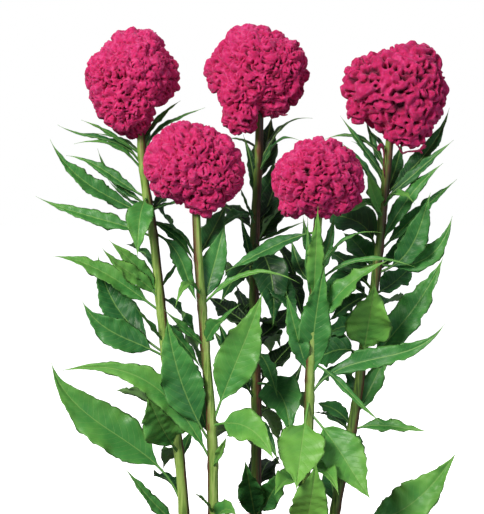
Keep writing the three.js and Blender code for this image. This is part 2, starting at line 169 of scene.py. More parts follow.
floor_finish, tree, out = new_finish("pale_floor_painted_glow")
from_pot = add_node(tree, "ShaderNodeVectorMath", {
    0: add_node(tree, "ShaderNodeTexCoord").outputs["Object"]}, operation="LENGTH")
# Painted glow: the floor glows, weakly near the pot and fully far from it, so it is white beyond the pot's
# shadow.
painted_glow = add_node(tree, "ShaderNodeMapRange", {
    "Value": from_pot.outputs["Value"], "From Min": SHADOW_NEAR, "From Max": SHADOW_FAR,
    "To Min": 0.66, "To Max": 1.0})
paint_and_glow = add_node(tree, "ShaderNodeBsdfPrincipled", {
    "Base Color": linear("#F4F2EE"), "Roughness": 0.8, "Specular IOR Level": 0.0,
    "Emission Color": linear("#FFFFFF"), "Emission Strength": painted_glow.outputs[0]})
tree.links.new(paint_and_glow.outputs[0], out.inputs["Surface"])
floor = stage_piece("floor", lambda shape: bmesh.ops.create_circle(
    shape, cap_ends=True, segments=96, radius=FLOOR_RADIUS), floor_finish)
floor.visible_diffuse = floor.visible_glossy = False

world = bpy.data.worlds.new("studio")
bpy.context.scene.world = world
world.use_nodes = True
world.node_tree.nodes["Background"].inputs["Color"].default_value = linear("#F2F6FF")
world.node_tree.nodes["Background"].inputs["Strength"].default_value = 0.2
bpy.context.scene.view_settings.view_transform = "Standard"


def soft_light(name, place, size, power, hex_colour):
    """A square soft light that looks at the middle of the plant."""
    data = bpy.data.lights.new(name, "AREA")
    data.size, data.energy, data.color = size, power, linear(hex_colour)[:3]
    made = bpy.data.objects.new(name, data)
    made.location = place
    made.rotation_euler = (CAMERA_TARGET - made.location).to_track_quat("-Z", "Y").to_euler()
    bpy.context.scene.collection.objects.link(made)
    return made


soft_light("key_light", Vector((-1.35, -2.2, 1.8)), 0.8, 92, "#FFF8EE")
soft_light("fill_light", Vector((1.9, -1.9, 0.8)), 1.6, 11, "#EEF3FF")
back_light = soft_light("back_light", Vector((0.6, 2.4, 1.9)), 1.4, 45, "#FFFFFF")
back_light.visible_glossy = False
print("stage pieces:", dome.name, floor.name)

# %% [markdown]
# ## The plants' dimensions
# Every dimension below is the one that the solids were made with, in millimetres. A stem is a row of
# points, a flower head is a middle with a few lobes round it, and a leaf is one row of numbers: where it
# leaves the stem, where its tip is, its width, the side that its face looks to, and the bend of its rib.

# %% Dimensions from the solids
SOIL_Z = 178
STEM_FOOT_RADIUS, STEM_NECK_RADIUS = 5.6, 4.0
PETIOLE_RADIUS = 1.3
BLADE_FOLD = 0.28
LOBE_BLEND = 2.6
PLANTS = {
    "left": {
        "stem": [[-68, 4, 0], [-71, 5, 52], [-76, 6, 105], [-86, 7, 175], [-93, 8, 245], [-100, 8, 313],
            [-109, 8, 371], [-113, 8, 424]],
        "head": [-121, 8, 467],
        "lobes": [[-2, -4, 3, 37], [4, 4, 23, 29], [-13, -8, 1, 31], [19, 14, 4, 28], [-5, -10, -22, 29],
            [-1, 4, -36, 20]],
        "leaves": [
            [393, -171, -14, 428, 7, 40, 1, 4],
            [380, -196, 6, 423, 9, 35, 24, -4],
            [376, -178, -18, 404, 7, 30, 16, 19],
            [392, -162, 40, 414, 6, 10, 12, 5],
            [330, -202, -14, 409, 20, 60, -8, -23],
            [350, -188, 10, 392, 12, 55, -2, 12],
            [342, -157, 24, 399, 11, 30, -10, -16],
            [332, -148, 36, 368, 10, -20, -1, -6],
            [310, -219, 12, 351, 16, 58, 5, -7],
            [350, -114, -42, 294, 27, 78, 22, 16],
            [251, -143, -24, 309, 18, 60, 5, 2],
            [245, -150, -34, 303, 18, 66, 10, -8],
            [235, -202, -6, 292, 23, 60, 6, 17],
            [193, -157, 20, 292, 36, 60, -18, -22],
            [189, -171, -8, 247, 32, 66, -1, -20],
            [204, -118, -40, 246, 7, 50, 0, 0],
            [26, -202, -12, 187, 47, 66, 45, -35, 0.28],
            [92, -104, -64, 162, 40, 80, -6, -6],
            [96, -93, 64, 65, 19, -30, 10, 10],
            [16, -129, -26, 83, 13, 60, -8, -3],
            [84, -61, 54, 113, 9, 20, 1, 0],
            [401, -73, 27, 447, 9, 20, 7, 6],
            [392, -48, 22, 440, 9, 20, 18, 8],
            [390, -106, 55, 429, 10, 40, -4, -6],
            [336, -58, 42, 343, 7, 15, 6, 4],
            [332, -71, 62, 352, 15, 30, 12, 11],
            [352, -73, 53, 310, 15, 40, 1, -2],
            [326, -56, 34, 283, 9, 30, 14, 13],
            [315, -56, 8, 244, 18, 50, 20, 2],
            [257, -72, 44, 288, 5, 30, 0, 1],
            [270, -130, 52, 300, 25, -30, 10, 10],
            [118, -142, 50, 150, 32, -35, 14, 10],
            [34, -104, 64, 58, 32, -30, 22, 16],
            [250, -54, 64, 194, 25, 40, 14, 5],
            [215, -51, 64, 165, 27, 30, 31, 16],
            [191, -56, 64, 146, 23, 20, 23, 17],
            [326, -60, 38, 283, 11, 60, 7, 9],
            [231, -52, 30, 173, 13, 60, -3, 3],
        ],
    },
    "frontleft": {
        "stem": [[-38, -46, 0], [-39.5, -48, 52], [-40, -50, 103], [-42, -51, 145], [-46, -53, 190],
            [-50, -55, 245], [-54, -57, 298], [-56, -58, 346]],
        "head": [-58, -60, 383],
        "lobes": [[-4, 0, 4, 38], [-11, -4, 2, 33], [-19, 6, -4, 26], [12, 2, 0, 32], [16, -8, 6, 26],
            [10, -3, -28, 19], [23, -6, -8, 24]],
        "leaves": [
            [294, -26, 57, 345, 21, 40, 0, -1],
            [243, -27, 14, 329, 25, 70, 0, 0],
            [247, 45, -28, 271, 8, 45, 23, 31],
            [208, -28, -40, 236, 19, 60, 6, 8],
            [212, -12, -36, 252, 7, 50, 4, 4],
            [126, 9, -18, 262, 42, 75, 3, -3],
            [108, -84, -16, 238, 41, 75, -11, -11],
            [90, -192, -14, 183, 27, 62, 37, 60, 0.09],
            [128, 20, -64, 103, 35, 66, 20, 27],
            [86, -25, -53, 127, 8, 60, -1, -1],
            [40, -57, -60, 71, 9, 50, 4, 4],
            [207, -86, -37, 247, 9, 60, 0, -2],
            [257, -75, -61, 249, 10, 50, 23, 25],
            [30, -16, -52, 48, 21, 60, 12, 14],
            [114, -61, 48, 170, 19, 30, -5, -3],
        ],
    },
    "back": {
        "stem": [[4, 42, 0], [3.5, 43, 52], [3.5, 45, 145], [2, 46, 215], [1, 47, 275], [3, 48, 333],
            [6, 48, 394], [7, 48, 442]],
        "head": [4, 48, 475],
        "lobes": [[2, -2, 4, 39], [-7, 6, 15, 32], [18, -4, 4, 33], [-23, 8, 0, 28], [14, 4, -12, 31],
            [-19, -18, -22, 18], [-16, -17, -43, 18], [-4, 16, -10, 32]],
        "leaves": [
            [382, 61, -4, 429, 8, 25, 7, 26],
            [372, 47, -39, 407, 9, 35, 9, 27],
            [358, 20, 58, 431, 27, 50, -4, -4],
            [317, 23, 47, 388, 23, 50, -6, -7],
            [340, -10, -8, 413, 11, 50, 5, 4],
            [397, -27, 47, 408, 4, 30, 6, 4],
            [310, 28, 33, 383, 21, 50, -6, -6],
            [300, 44, 42, 352, 21, -30, 4, 4],
            [320, -14, -48, 363, 8, 50, -1, -1],
            [314, -40, 63, 342, 19, 20, 4, 4],
            [330, -35, -64, 316, 18, 40, 9, 15],
            [299, 35, 60, 358, 25, 50, -7, -3],
            [302, 20, -44, 220, 36, 70, 30, 28],
            [281, -33, -62, 245, 19, 55, 13, 7],
            [272, -13, -29, 333, 9, 50, 0, 0],
            [216, -20, 64, 260, 25, -30, -3, -1],
            [244, 53, 64, 215, 34, 40, 36, 46],
            [293, 47, 63, 251, 21, 50, 31, 25],
            [202, 43, 64, 235, 23, 50, -5, -4],
            [190, 25, -56, 150, 16, 60, 17, 7],
            [158, 37, -64, 110, 44, 60, 26, 38],
            [153, 53, 50, 204, 23, 20, 4, 4],
            [139, -35, -30, 226, 28, 45, -4, -5],
            [244, -16, 64, 191, 21, 50, 14, 14],
            [12, -8, -64, 90, 27, 70, 0, -1],
            [20, 35, -64, 81, 25, 60, 0, 2],
            [250, -30, 62, 262, 29, -30, 20, 20],
            [180, 20, 92, 176, 36, 0, 34, 30],
            [120, 62, 62, 116, 34, -20, 28, 26],
            [90, -48, 60, 88, 34, -30, 24, 22],
            [36, 24, 84, 62, 32, 0, 26, 22],
            [221, 30, 64, 185, 21, 30, 17, 13],
            [266, 44, -64, 223, 27, 45, 17, 24],
            [206, -32, 64, 242, 25, 40, -2, 0],
            [178, -40, 64, 147, 25, 20, 21, 25],
            [215, -48, 64, 242, 25, 50, -2, 1],
            [141, 29, 64, 86, 25, 20, 8, 4],
            [126, 52, 30, 181, 15, 60, -11, -16],
            [170, -42, 41, 211, 15, 60, -6, -7],
            [303, 53, -30, 326, 7, 40, -2, 0],
            [127, 26, -41, 83, 10, 70, 3, 2],
        ],
    },
    "frontright": {
        "stem": [[46, -40, 0], [49, -42, 52], [54, -44, 115], [56, -46, 188], [58.5, -48, 245],
            [61, -50, 300], [64, -52, 342]],
        "head": [64, -54, 371],
        "lobes": [[0, 0, 2, 36], [-11, -4, 0, 32], [8, 2, 2, 32], [2, 0, -12, 24], [-23, -6, -22, 15],
            [21, -4, -11, 20], [0, 10, -2, 31]],
        "leaves": [
            [319, -31, -8, 279, 19, 45, 9, 1],
            [246, 62, -40, 346, 17, 80, -2, -2],
            [244, 53, -6, 335, 7, 70, -4, -3],
            [151, 70, -24, 293, 32, 80, 8, 7],
            [173, 32, -14, 262, 20, 72, -1, -2],
            [155, 187, -22, 232, 22, 60, 34, -29, 0.16],
            [191, 128, -22, 132, 8, 50, 9, -4],
            [141, 114, -42, 61, 45, 66, 7, 0],
            [12, 60, -64, 103, 38, 70, -10, -12],
            [155, 41, -62, 74, 48, 62, 5, 4, 0.3],
            [277, 125, -14, 319, 7, 30, 11, 23],
            [266, 159, -16, 285, 7, 40, 24, 21],
            [86, 82, -64, 69, 23, 30, 9, 22],
            [60, 20, -50, 66, 27, 50, 20, 20],
            [220, 132, -22, 293, 23, 50, 12, 13],
            [268, 80, 20, 336, 13, 40, -5, -6],
            [290, 50, 53, 332, 12, 40, -7, -9],
            [270, 38, 55, 310, 15, 30, -17, -12],
        ],
    },
    "right": {
        "stem": [[79, 6, 0], [85, 7, 45], [96, 8, 95], [106, 9, 155], [112, 10, 204], [119, 11, 240],
            [126, 12, 290], [131, 12, 345], [138, 12, 418]],
        "head": [142, 12, 453],
        "lobes": [[2, 0, 5, 39], [17, 4, 22, 29], [-21, -4, 9, 31], [-37, -6, -15, 12], [18, 2, 0, 34],
            [12, -4, -27, 25], [0, 12, -4, 34]],
        "leaves": [
            [368, 87, -8, 432, 9, 40, 0, 0],
            [376, 114, 27, 430, 8, 20, -5, -4],
            [380, 70, 14, 407, 7, 35, 20, 24],
            [358, 100, 30, 406, 9, 20, 8, 13],
            [352, 86, -22, 406, 8, 45, 1, 6],
            [330, 111, -57, 379, 16, 60, -3, -2],
            [350, 153, 48, 407, 17, 40, -6, -7],
            [350, 199, 28, 440, 18, 45, -4, -18],
            [347, 200, -12, 408, 12, 55, 0, 0],
            [299, 190, -10, 385, 18, 55, 8, 10],
            [339, 158, -62, 346, 11, 50, 17, 17],
            [295, 206, 14, 368, 17, 45, 2, 1],
            [274, 177, -16, 356, 26, 72, -27, -9],
            [277, 165, 49, 325, 18, 20, -13, -9],
            [271, 93, 64, 311, 27, 50, 10, 7],
            [252, 168, 64, 280, 27, 50, -5, -4],
            [283, 200, -2, 332, 22, 60, -29, -29],
            [172, 191, -8, 292, 32, 62, -2, -12],
            [184, 119, -64, 270, 47, 80, -2, -3],
            [284, 67, 37, 222, 25, 66, 16, 17],
            [190, 60, 45, 179, 39, 55, 17, 7],
            [285, 72, 64, 333, 40, 55, 40, 9],
            [255, 75, 64, 293, 28, 40, 6, 7],
            [245, 71, 64, 243, 23, 20, 19, 24],
            [221, 72, 64, 200, 32, 55, 6, 11],
            [160, 65, 64, 152, 23, 40, 27, 14],
            [325, 83, -60, 336, 15, 40, 32, 8],
            [392, 121, 54, 416, 6, 30, 2, 1],
            [126, 138, 14, 201, 21, 50, -3, -3],
            [115, 177, -18, 117, 15, 50, 12, 0],
            [112, 63, 64, 124, 19, 0, 9, 8],
            [36, 78, 64, 74, 23, 30, 1, 0],
            [24, 204, -24, 98, 42, 62, -40, -24],
            [300, 144, 60, 316, 25, -30, 14, 12],
            [220, 160, 66, 238, 32, -30, 18, 16],
            [140, 122, 72, 152, 34, -20, 18, 16],
            [70, 104, 76, 92, 32, -30, 22, 20],
            [251, 78, 62, 219, 19, 60, 9, 3],
            [117, 66, 64, 135, 17, 60, 12, 4],
        ],
    },
}
print("leaves:", sum(len(parts["leaves"]) for parts in PLANTS.values()))

# %% [markdown]
# ## Lines through space
# A stem follows a smooth curve through its points, and a leaf's midrib is a Bezier curve with two inner
# control points. The stem's curve is the centripetal kind, which never loops between uneven points.


# %% Stem and rib curves
def stem_point(points, share):
    """The point of a stem's middle line at a share of the way from its foot to its neck."""
    last = len(points) - 1
    whole = min(int(share * last), last - 1)
    t = share * last - whole
    b, c = points[whole], points[whole + 1]
    a = points[whole - 1] if whole > 0 else 2 * b - c
    d = points[whole + 2] if whole + 2 <= last else 2 * c - b
    ab, bc, cd = (np.linalg.norm(q - p) ** 0.5 for p, q in ((a, b), (b, c), (c, d)))
    leave = ((b - a) / ab - (c - a) / (ab + bc) + (c - b) / bc) * bc
    arrive = ((c - b) / bc - (d - b) / (bc + cd) + (d - c) / cd) * bc
    return (b + leave * t + (3 * (c - b) - 2 * leave - arrive) * t ** 2
            + (2 * (b - c) + leave + arrive) * t ** 3)


def stem_points(plant):
    """The points that a stem's middle line runs through, in millimetres above the floor."""
    return np.array(plant["stem"], float) + [0, 0, SOIL_Z]


def stem_at(points, height):
    """The point of a stem's middle line at a height above the soil."""
    low, high = 0.0, 1.0
    for _ in range(24):
        middle = (low + high) / 2
        low, high = (middle, high) if stem_point(points, middle)[2] < SOIL_Z + height else (low, middle)
    return stem_point(points, low)


def unit(vectors):
    """The same vectors at length one."""
    return vectors / np.linalg.norm(vectors, axis=-1, keepdims=True)


print("neck of the back stem:", stem_at(stem_points(PLANTS["back"]), 440).round(1))

# %% [markdown]
# ## From numbers to a piece
# Each piece is made from an array of points and an array of faces. One helper makes the mesh, stores the
# numbers that the finish reads as a colour on each point, smooths it, and hides the solid that it stands for.


# %% Mesh helpers
def new_piece(name, points, faces, finish, replaced, marks=None):
    """A piece of the plant from points in millimetres. Marks are up to three numbers for each point."""
    mesh = bpy.data.meshes.new(name)
    mesh.from_pydata((np.asarray(points) * MM).tolist(), [], [list(map(int, f)) for f in faces])
    if marks is not None:
        colours = np.ones((len(marks), 4), np.float32)
        colours[:, :marks.shape[1]] = marks
        mesh.attributes.new("marks", "FLOAT_COLOR", "POINT").data.foreach_set("color", colours.ravel())
    mesh.polygons.foreach_set("use_smooth", [True] * len(mesh.polygons))
    mesh.materials.append(finish)
    mesh.update()
    made = bpy.data.objects.new(name, mesh)
    bpy.context.scene.collection.objects.link(made)
    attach(made, "root")
    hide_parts(replaced)
    return made


def ring_faces(rings, around, first=0):
    """The faces of a closed skin through rings of points, with both ends capped."""
    faces = [[first + i * around + j, first + i * around + (j + 1) % around,
              first + (i + 1) * around + (j + 1) % around, first + (i + 1) * around + j]
             for i in range(rings - 1) for j in range(around)]
    foot = [first + j for j in reversed(range(around))]
    head = [first + (rings - 1) * around + j for j in range(around)]
    return faces + [foot, head]


def size_of(piece):
    return f"{piece.name}: {len(piece.data.vertices)} points, {len(piece.data.polygons)} faces"


print("faces of a short tube:", len(ring_faces(3, 6)))

# %% [markdown]
# ## Stem skin
# A celosia's stem is a fleshy green rod with fine ribs along it. It is waxy, so it has a soft shine. Sun
# and age turn one side of it a dark red-brown, and also the joints where leaves sit and the top below the
# head. On the left, back and right stems that side is the one away from the light, and its dark red-brown
# is partly painted shade. The brown runs in streaks along the ribs. They are noise, squeezed across the
# stem and stretched along it, because a streak follows the stem's fibres. Deep in the bunch the green is
# darker, which is painted shade.

# %% Stem finish
STREAK_WIDTH = 1.6 * MM
STREAK_LENGTH = 30 * MM

stem_skin, tree, out = new_finish("waxy_green_stem")
marks = read_marks(tree)
place = add_node(tree, "ShaderNodeTexCoord").outputs["Object"]
stretched = add_node(tree, "ShaderNodeMapping", {
    "Vector": place, "Scale": (1 / STREAK_WIDTH, 1 / STREAK_WIDTH, 1 / STREAK_LENGTH)})
streaks = add_node(tree, "ShaderNodeTexNoise", {
    "Vector": stretched.outputs[0], "Scale": 0.7, "Detail": 3.0, "Roughness": 0.6})
# The stem's Green mark is painted shade: it darkens the green of the back and right stems, deep in the bunch.
toned_with_shade = calculate(tree, "ADD", streaks.outputs["Fac"], marks["Green"])
greens_and_shade = set_stops(add_node(tree, "ShaderNodeValToRGB", {0: toned_with_shade}), [
    (0.20, "#3C5A26"), (0.36, "#64883A"), (0.50, "#8CB054"), (0.72, "#B6CE7C")])
# The darkest red-browns are partly painted shade, on the side of a stem away from the light.
reds_and_shade = set_stops(add_node(tree, "ShaderNodeValToRGB", {0: streaks.outputs["Fac"]}), [
    (0.30, "#2A1A14"), (0.50, "#48301F"), (0.72, "#80563C")])
flushed_and_shaded = calculate(tree, "ADD", streaks.outputs["Fac"], marks["Red"])
flush_and_shade = add_node(tree, "ShaderNodeMapRange", {"Value": flushed_and_shaded, "From Min": 0.85, "From Max": 1.15})
colour = add_node(tree, "ShaderNodeMix", {
    "Factor": flush_and_shade.outputs[0], 6: greens_and_shade.outputs["Color"], 7: reds_and_shade.outputs["Color"]}, data_type="RGBA")
relief = add_node(tree, "ShaderNodeBump", {
    "Height": streaks.outputs["Fac"], "Strength": 0.3, "Distance": 0.3 * MM})
skin = add_node(tree, "ShaderNodeBsdfPrincipled", {
    "Base Color": colour.outputs[2], "Roughness": 0.42, "IOR": 1.42, "Specular IOR Level": 0.5,
    "Normal": relief.outputs[0]})
tree.links.new(skin.outputs[0], out.inputs["Surface"])
print("streaks per stem round:", round(2 * math.pi * 5 * MM / STREAK_WIDTH))

# %% [markdown]
# ## Stems
# Each stem is a tube of many rings. Its sides are ribbed, it thickens a little where a leaf is joined on,
# and it tapers from the soil to the head. A tube built ring by ring keeps the ribs running true, which a
# curve with a round bevel would not.

# %% Stems
STEM_RINGS = 110
STEM_SIDES = 36
RIB_COUNT, RIB_RISE = 7, 0.02  # ribs round a stem, and their height as a share of its radius
STEM_IN_SOIL = 14
JOINT_SWELL = 0.45
JOINT_LENGTH = 3.2
# How far a stem is flushed red overall, the side of it that is reddest, in degrees from +X, and how much
# lighter or darker its green is than the common one. On the left, back and right stems the reddest side
# faces away from the light, so its dark red is partly painted shade, and the darker green of the back and
# right stems is painted shade.
FLUSH_AND_SHADE = {"left": (0.10, 5, 0), "frontleft": (0.05, 190, 0.02), "back": (0.24, -10, -0.14),
         "frontright": (0.04, 190, 0.02), "right": (0.14, -5, -0.14)}
SIDE_FLUSH_AND_SHADE, TOP_FLUSH = 0.62, 0.2  # how much redder the reddest side is, and the neck than the lower third
JOINT_FLUSH, LOWER_THIRD = 0.07, 0.35
RIB_SWAY, SWAY_HEIGHT = 0.6, 60  # how far the ribs turn to and fro as they climb, and over how many mm


def build_stem(name, plant):
    points = stem_points(plant)
    joints = np.array([SOIL_Z + leaf[0] for leaf in plant["leaves"]])
    red, red_side, tone = FLUSH_AND_SHADE[name]
    turns = np.linspace(0, 2 * math.pi, STEM_SIDES, endpoint=False)
    rings, marks = [], []
    for i in range(-4, STEM_RINGS + 1):
        share = max(i, 0) / STEM_RINGS
        centre = stem_point(points, share) - [0, 0, STEM_IN_SOIL * max(0, -i) / 4]
        swell = np.exp(-((centre[2] - joints) / JOINT_LENGTH) ** 2)
        radius = STEM_FOOT_RADIUS + (STEM_NECK_RADIUS - STEM_FOOT_RADIUS) * share
        radius += JOINT_SWELL * min(1.3, swell.sum())
        sway = RIB_SWAY * math.sin(centre[2] / SWAY_HEIGHT)
        sides = radius * (1 + RIB_RISE * np.cos(RIB_COUNT * turns + sway))
        rings.append(centre + np.c_[sides * np.cos(turns), sides * np.sin(turns), 0 * turns])
        # The reddest side of the left, back and right stems faces away from the light, so its red is partly
        # painted shade.
        facing = (0.5 + 0.5 * np.cos(turns - math.radians(red_side))) ** 2
        flush_and_shade = red + SIDE_FLUSH_AND_SHADE * facing + TOP_FLUSH * max(0, share - LOWER_THIRD)
        marks.append(np.c_[flush_and_shade + JOINT_FLUSH * min(1, swell.sum()), 0 * turns + tone])
    return new_piece(f"stem_{name}", np.concatenate(rings), ring_faces(len(rings), STEM_SIDES),
                     stem_skin, f"leafy_stem_{name}", np.concatenate(marks))


for name, plant in PLANTS.items():
    print(size_of(build_stem(name, plant)))

# %% [markdown]
# ## Leaf skin
# A leaf is thin, waxy and a little see-through. Its upper side is a fresh green with a pale midrib and
# pale side veins, and its underside is duller and paler. The veins are drawn from a map on the blade that
# counts them along the rib, so they leave the rib at the right places and curve forward to the edge.
# Between the veins the blade swells like a quilt, which breaks up its shine.

# %% Leaf finish
RIB_HALF_WIDTH = 0.05  # the map's second number is the distance from the rib in centimetres
VEIN_HALF_WIDTH = 0.08  # as a share of the space between two side veins
PALE_VEIN, PALE_RIB = 0.26, 0.6  # how far a side vein and the midrib pale toward their own colour
CELL_SIZE = 1.3 * MM

leaf_skin, tree, out = new_finish("waxy_leaf_blade")
marks = read_marks(tree)
blade_map = add_node(tree, "ShaderNodeSeparateXYZ", {
    0: add_node(tree, "ShaderNodeUVMap", uv_map="blade").outputs[0]})
place = add_node(tree, "ShaderNodeTexCoord").outputs["Object"]
between = calculate(tree, "PINGPONG", blade_map.outputs["X"], 0.5)
vein = add_node(tree, "ShaderNodeMapRange", {
    "Value": between, "From Min": 0.0, "From Max": VEIN_HALF_WIDTH, "To Min": 1.0, "To Max": 0.0},
    interpolation_type="SMOOTHSTEP")
rib = add_node(tree, "ShaderNodeMapRange", {
    "Value": blade_map.outputs["Y"], "From Min": RIB_HALF_WIDTH * 0.5, "From Max": RIB_HALF_WIDTH * 1.7,
    "To Min": 1.0, "To Max": 0.0}, interpolation_type="SMOOTHSTEP")
pale = calculate(tree, "MAXIMUM", calculate(tree, "MULTIPLY", vein.outputs[0], PALE_VEIN),
                 calculate(tree, "MULTIPLY", rib.outputs[0], PALE_RIB))
blotches = add_node(tree, "ShaderNodeTexNoise", {"Vector": place, "Scale": 55.0, "Detail": 4.0})
toned_with_shade = calculate(tree, "MULTIPLY_ADD", blotches.outputs["Fac"], 0.35, marks["Red"])
# The darkest stops are painted shade, for the leaves deep in the bunch.
greens_and_shade = set_stops(add_node(tree, "ShaderNodeValToRGB", {0: toned_with_shade}), [
    (0.14, "#0E2215"), (0.30, "#1B4226"), (0.50, "#30703B"), (0.72, "#4A9446"), (1.0, "#7ABC52")])
under = add_node(tree, "ShaderNodeMix", {
    "Factor": marks["Green"], 6: greens_and_shade.outputs["Color"], 7: linear("#6E9A5A")}, data_type="RGBA")
blade = add_node(tree, "ShaderNodeMix", {
    "Factor": pale, 6: under.outputs[2], 7: linear("#8CBC63")}, data_type="RGBA")
cells = add_node(tree, "ShaderNodeTexVoronoi", {"Vector": place, "Scale": 1 / CELL_SIZE})
cell_relief = add_node(tree, "ShaderNodeBump", {
    "Height": cells.outputs["Distance"], "Strength": 0.22, "Distance": 0.3 * MM})
vein_relief = add_node(tree, "ShaderNodeBump", {
    "Height": pale, "Strength": 0.8, "Distance": 0.5 * MM, "Normal": cell_relief.outputs[0]},
    invert=True)
shine = add_node(tree, "ShaderNodeMapRange", {
    "Value": blotches.outputs["Fac"], "From Min": 0.3, "From Max": 0.7, "To Min": 0.36, "To Max": 0.52})
front = add_node(tree, "ShaderNodeBsdfPrincipled", {
    "Base Color": blade.outputs[2], "Roughness": shine.outputs[0], "IOR": 1.42,
    "Normal": vein_relief.outputs[0]})
glow = add_node(tree, "ShaderNodeBsdfTranslucent", {
    "Color": linear("#7DBB3C"), "Normal": vein_relief.outputs[0]})
skin = add_node(tree, "ShaderNodeMixShader", {0: 0.1, 1: front.outputs[0], 2: glow.outputs[0]})
tree.links.new(skin.outputs[0], out.inputs["Surface"])
print("finish:", leaf_skin.name)

# %% [markdown]
# ## Leaf shape
# A blade is a folded sheet: its two halves rise from the midrib, its edge waves up and down, and it is
# drawn out to a stalk at one end and to a long point at the other. Each cross-section is a closed loop,
# over the upper side and back along the underside, so the leaf has a true thickness and a raised rib
# below. No two edges are alike: they wave and are cut by soft noise, and by so many millimetres at most,
# because a wide leaf with cuts in scale would look like holly. Tips and edges are lighter.


# %% One leaf
BLADE_HALF_THICKNESS = 0.32
RIB_HEIGHT = 0.7
QUILT = 0.8
CRUMPLE = 0.55
SECTION_GAP, CELL_WIDTH = 2.2, 4  # mm, between two sections, and between two points across them
VEIN_GAP = 0.2  # between two side veins on one side, as a share of the width
EDGE_WAVE, HIGHEST_WAVE = 0.36, 4.5  # a share of the half width, and at most so many mm
EDGE_TOOTH, DEEPEST_TOOTH = 0.16, 1.3  # a share of the half width, and at most so many mm
PATCH_ALONG, PATCH_ACROSS = 2.6, 4.0  # mm, of the fine unevenness between the veins
WAVE_PATCH = 9  # mm, over which the waves of an edge come and go
SWING_LENGTH, CUT_LENGTH, NICK_LENGTH = 24, 7, 3  # mm, from the long swing of an edge to its small nicks
VEIN_LEAN, VEIN_CURVE = 0.6, 0.028  # how far a side vein runs forward, and how it curves on its way out
TWIST = 40  # degrees from stalk to tip, to either side
TIP_TONE, EDGE_TONE = 2.2, 0.9  # how much lighter tips and edges are


def blade_share(u):
    """How wide a blade is along its length, as a share of its widest place."""
    rise, fall = 1.05, 1.7
    widest = rise / (rise + fall)
    return u ** rise * (1 - u) ** fall / (widest ** rise * (1 - widest) ** fall)


def rib_line(root, tip, rise_low, rise_high, t):
    """Points and directions along a leaf's midrib."""
    chord = tip - root
    along = unit(chord)
    up = unit(np.array([0, 0, 1.0]) - along[2] * along)
    a, b = root + chord / 3 + up * rise_low, root + chord * 2 / 3 + up * rise_high
    t = t[:, None]
    line = (1 - t) ** 3 * root + 3 * (1 - t) ** 2 * t * a + 3 * (1 - t) * t ** 2 * b + t ** 3 * tip
    ahead = (1 - t) ** 2 * (a - root) + 2 * (1 - t) * t * (b - a) + t ** 2 * (tip - b)
    return line, unit(ahead)


def wander(mm_along, size, seed):
    """Soft noise along a leaf, in one column for each of its two edges."""
    return 2 * np.array([[noise.noise(Vector((d / size, seed + 9.1 * edge, 0.5))) for edge in (0, 1)]
                         for d in mm_along.tolist()])


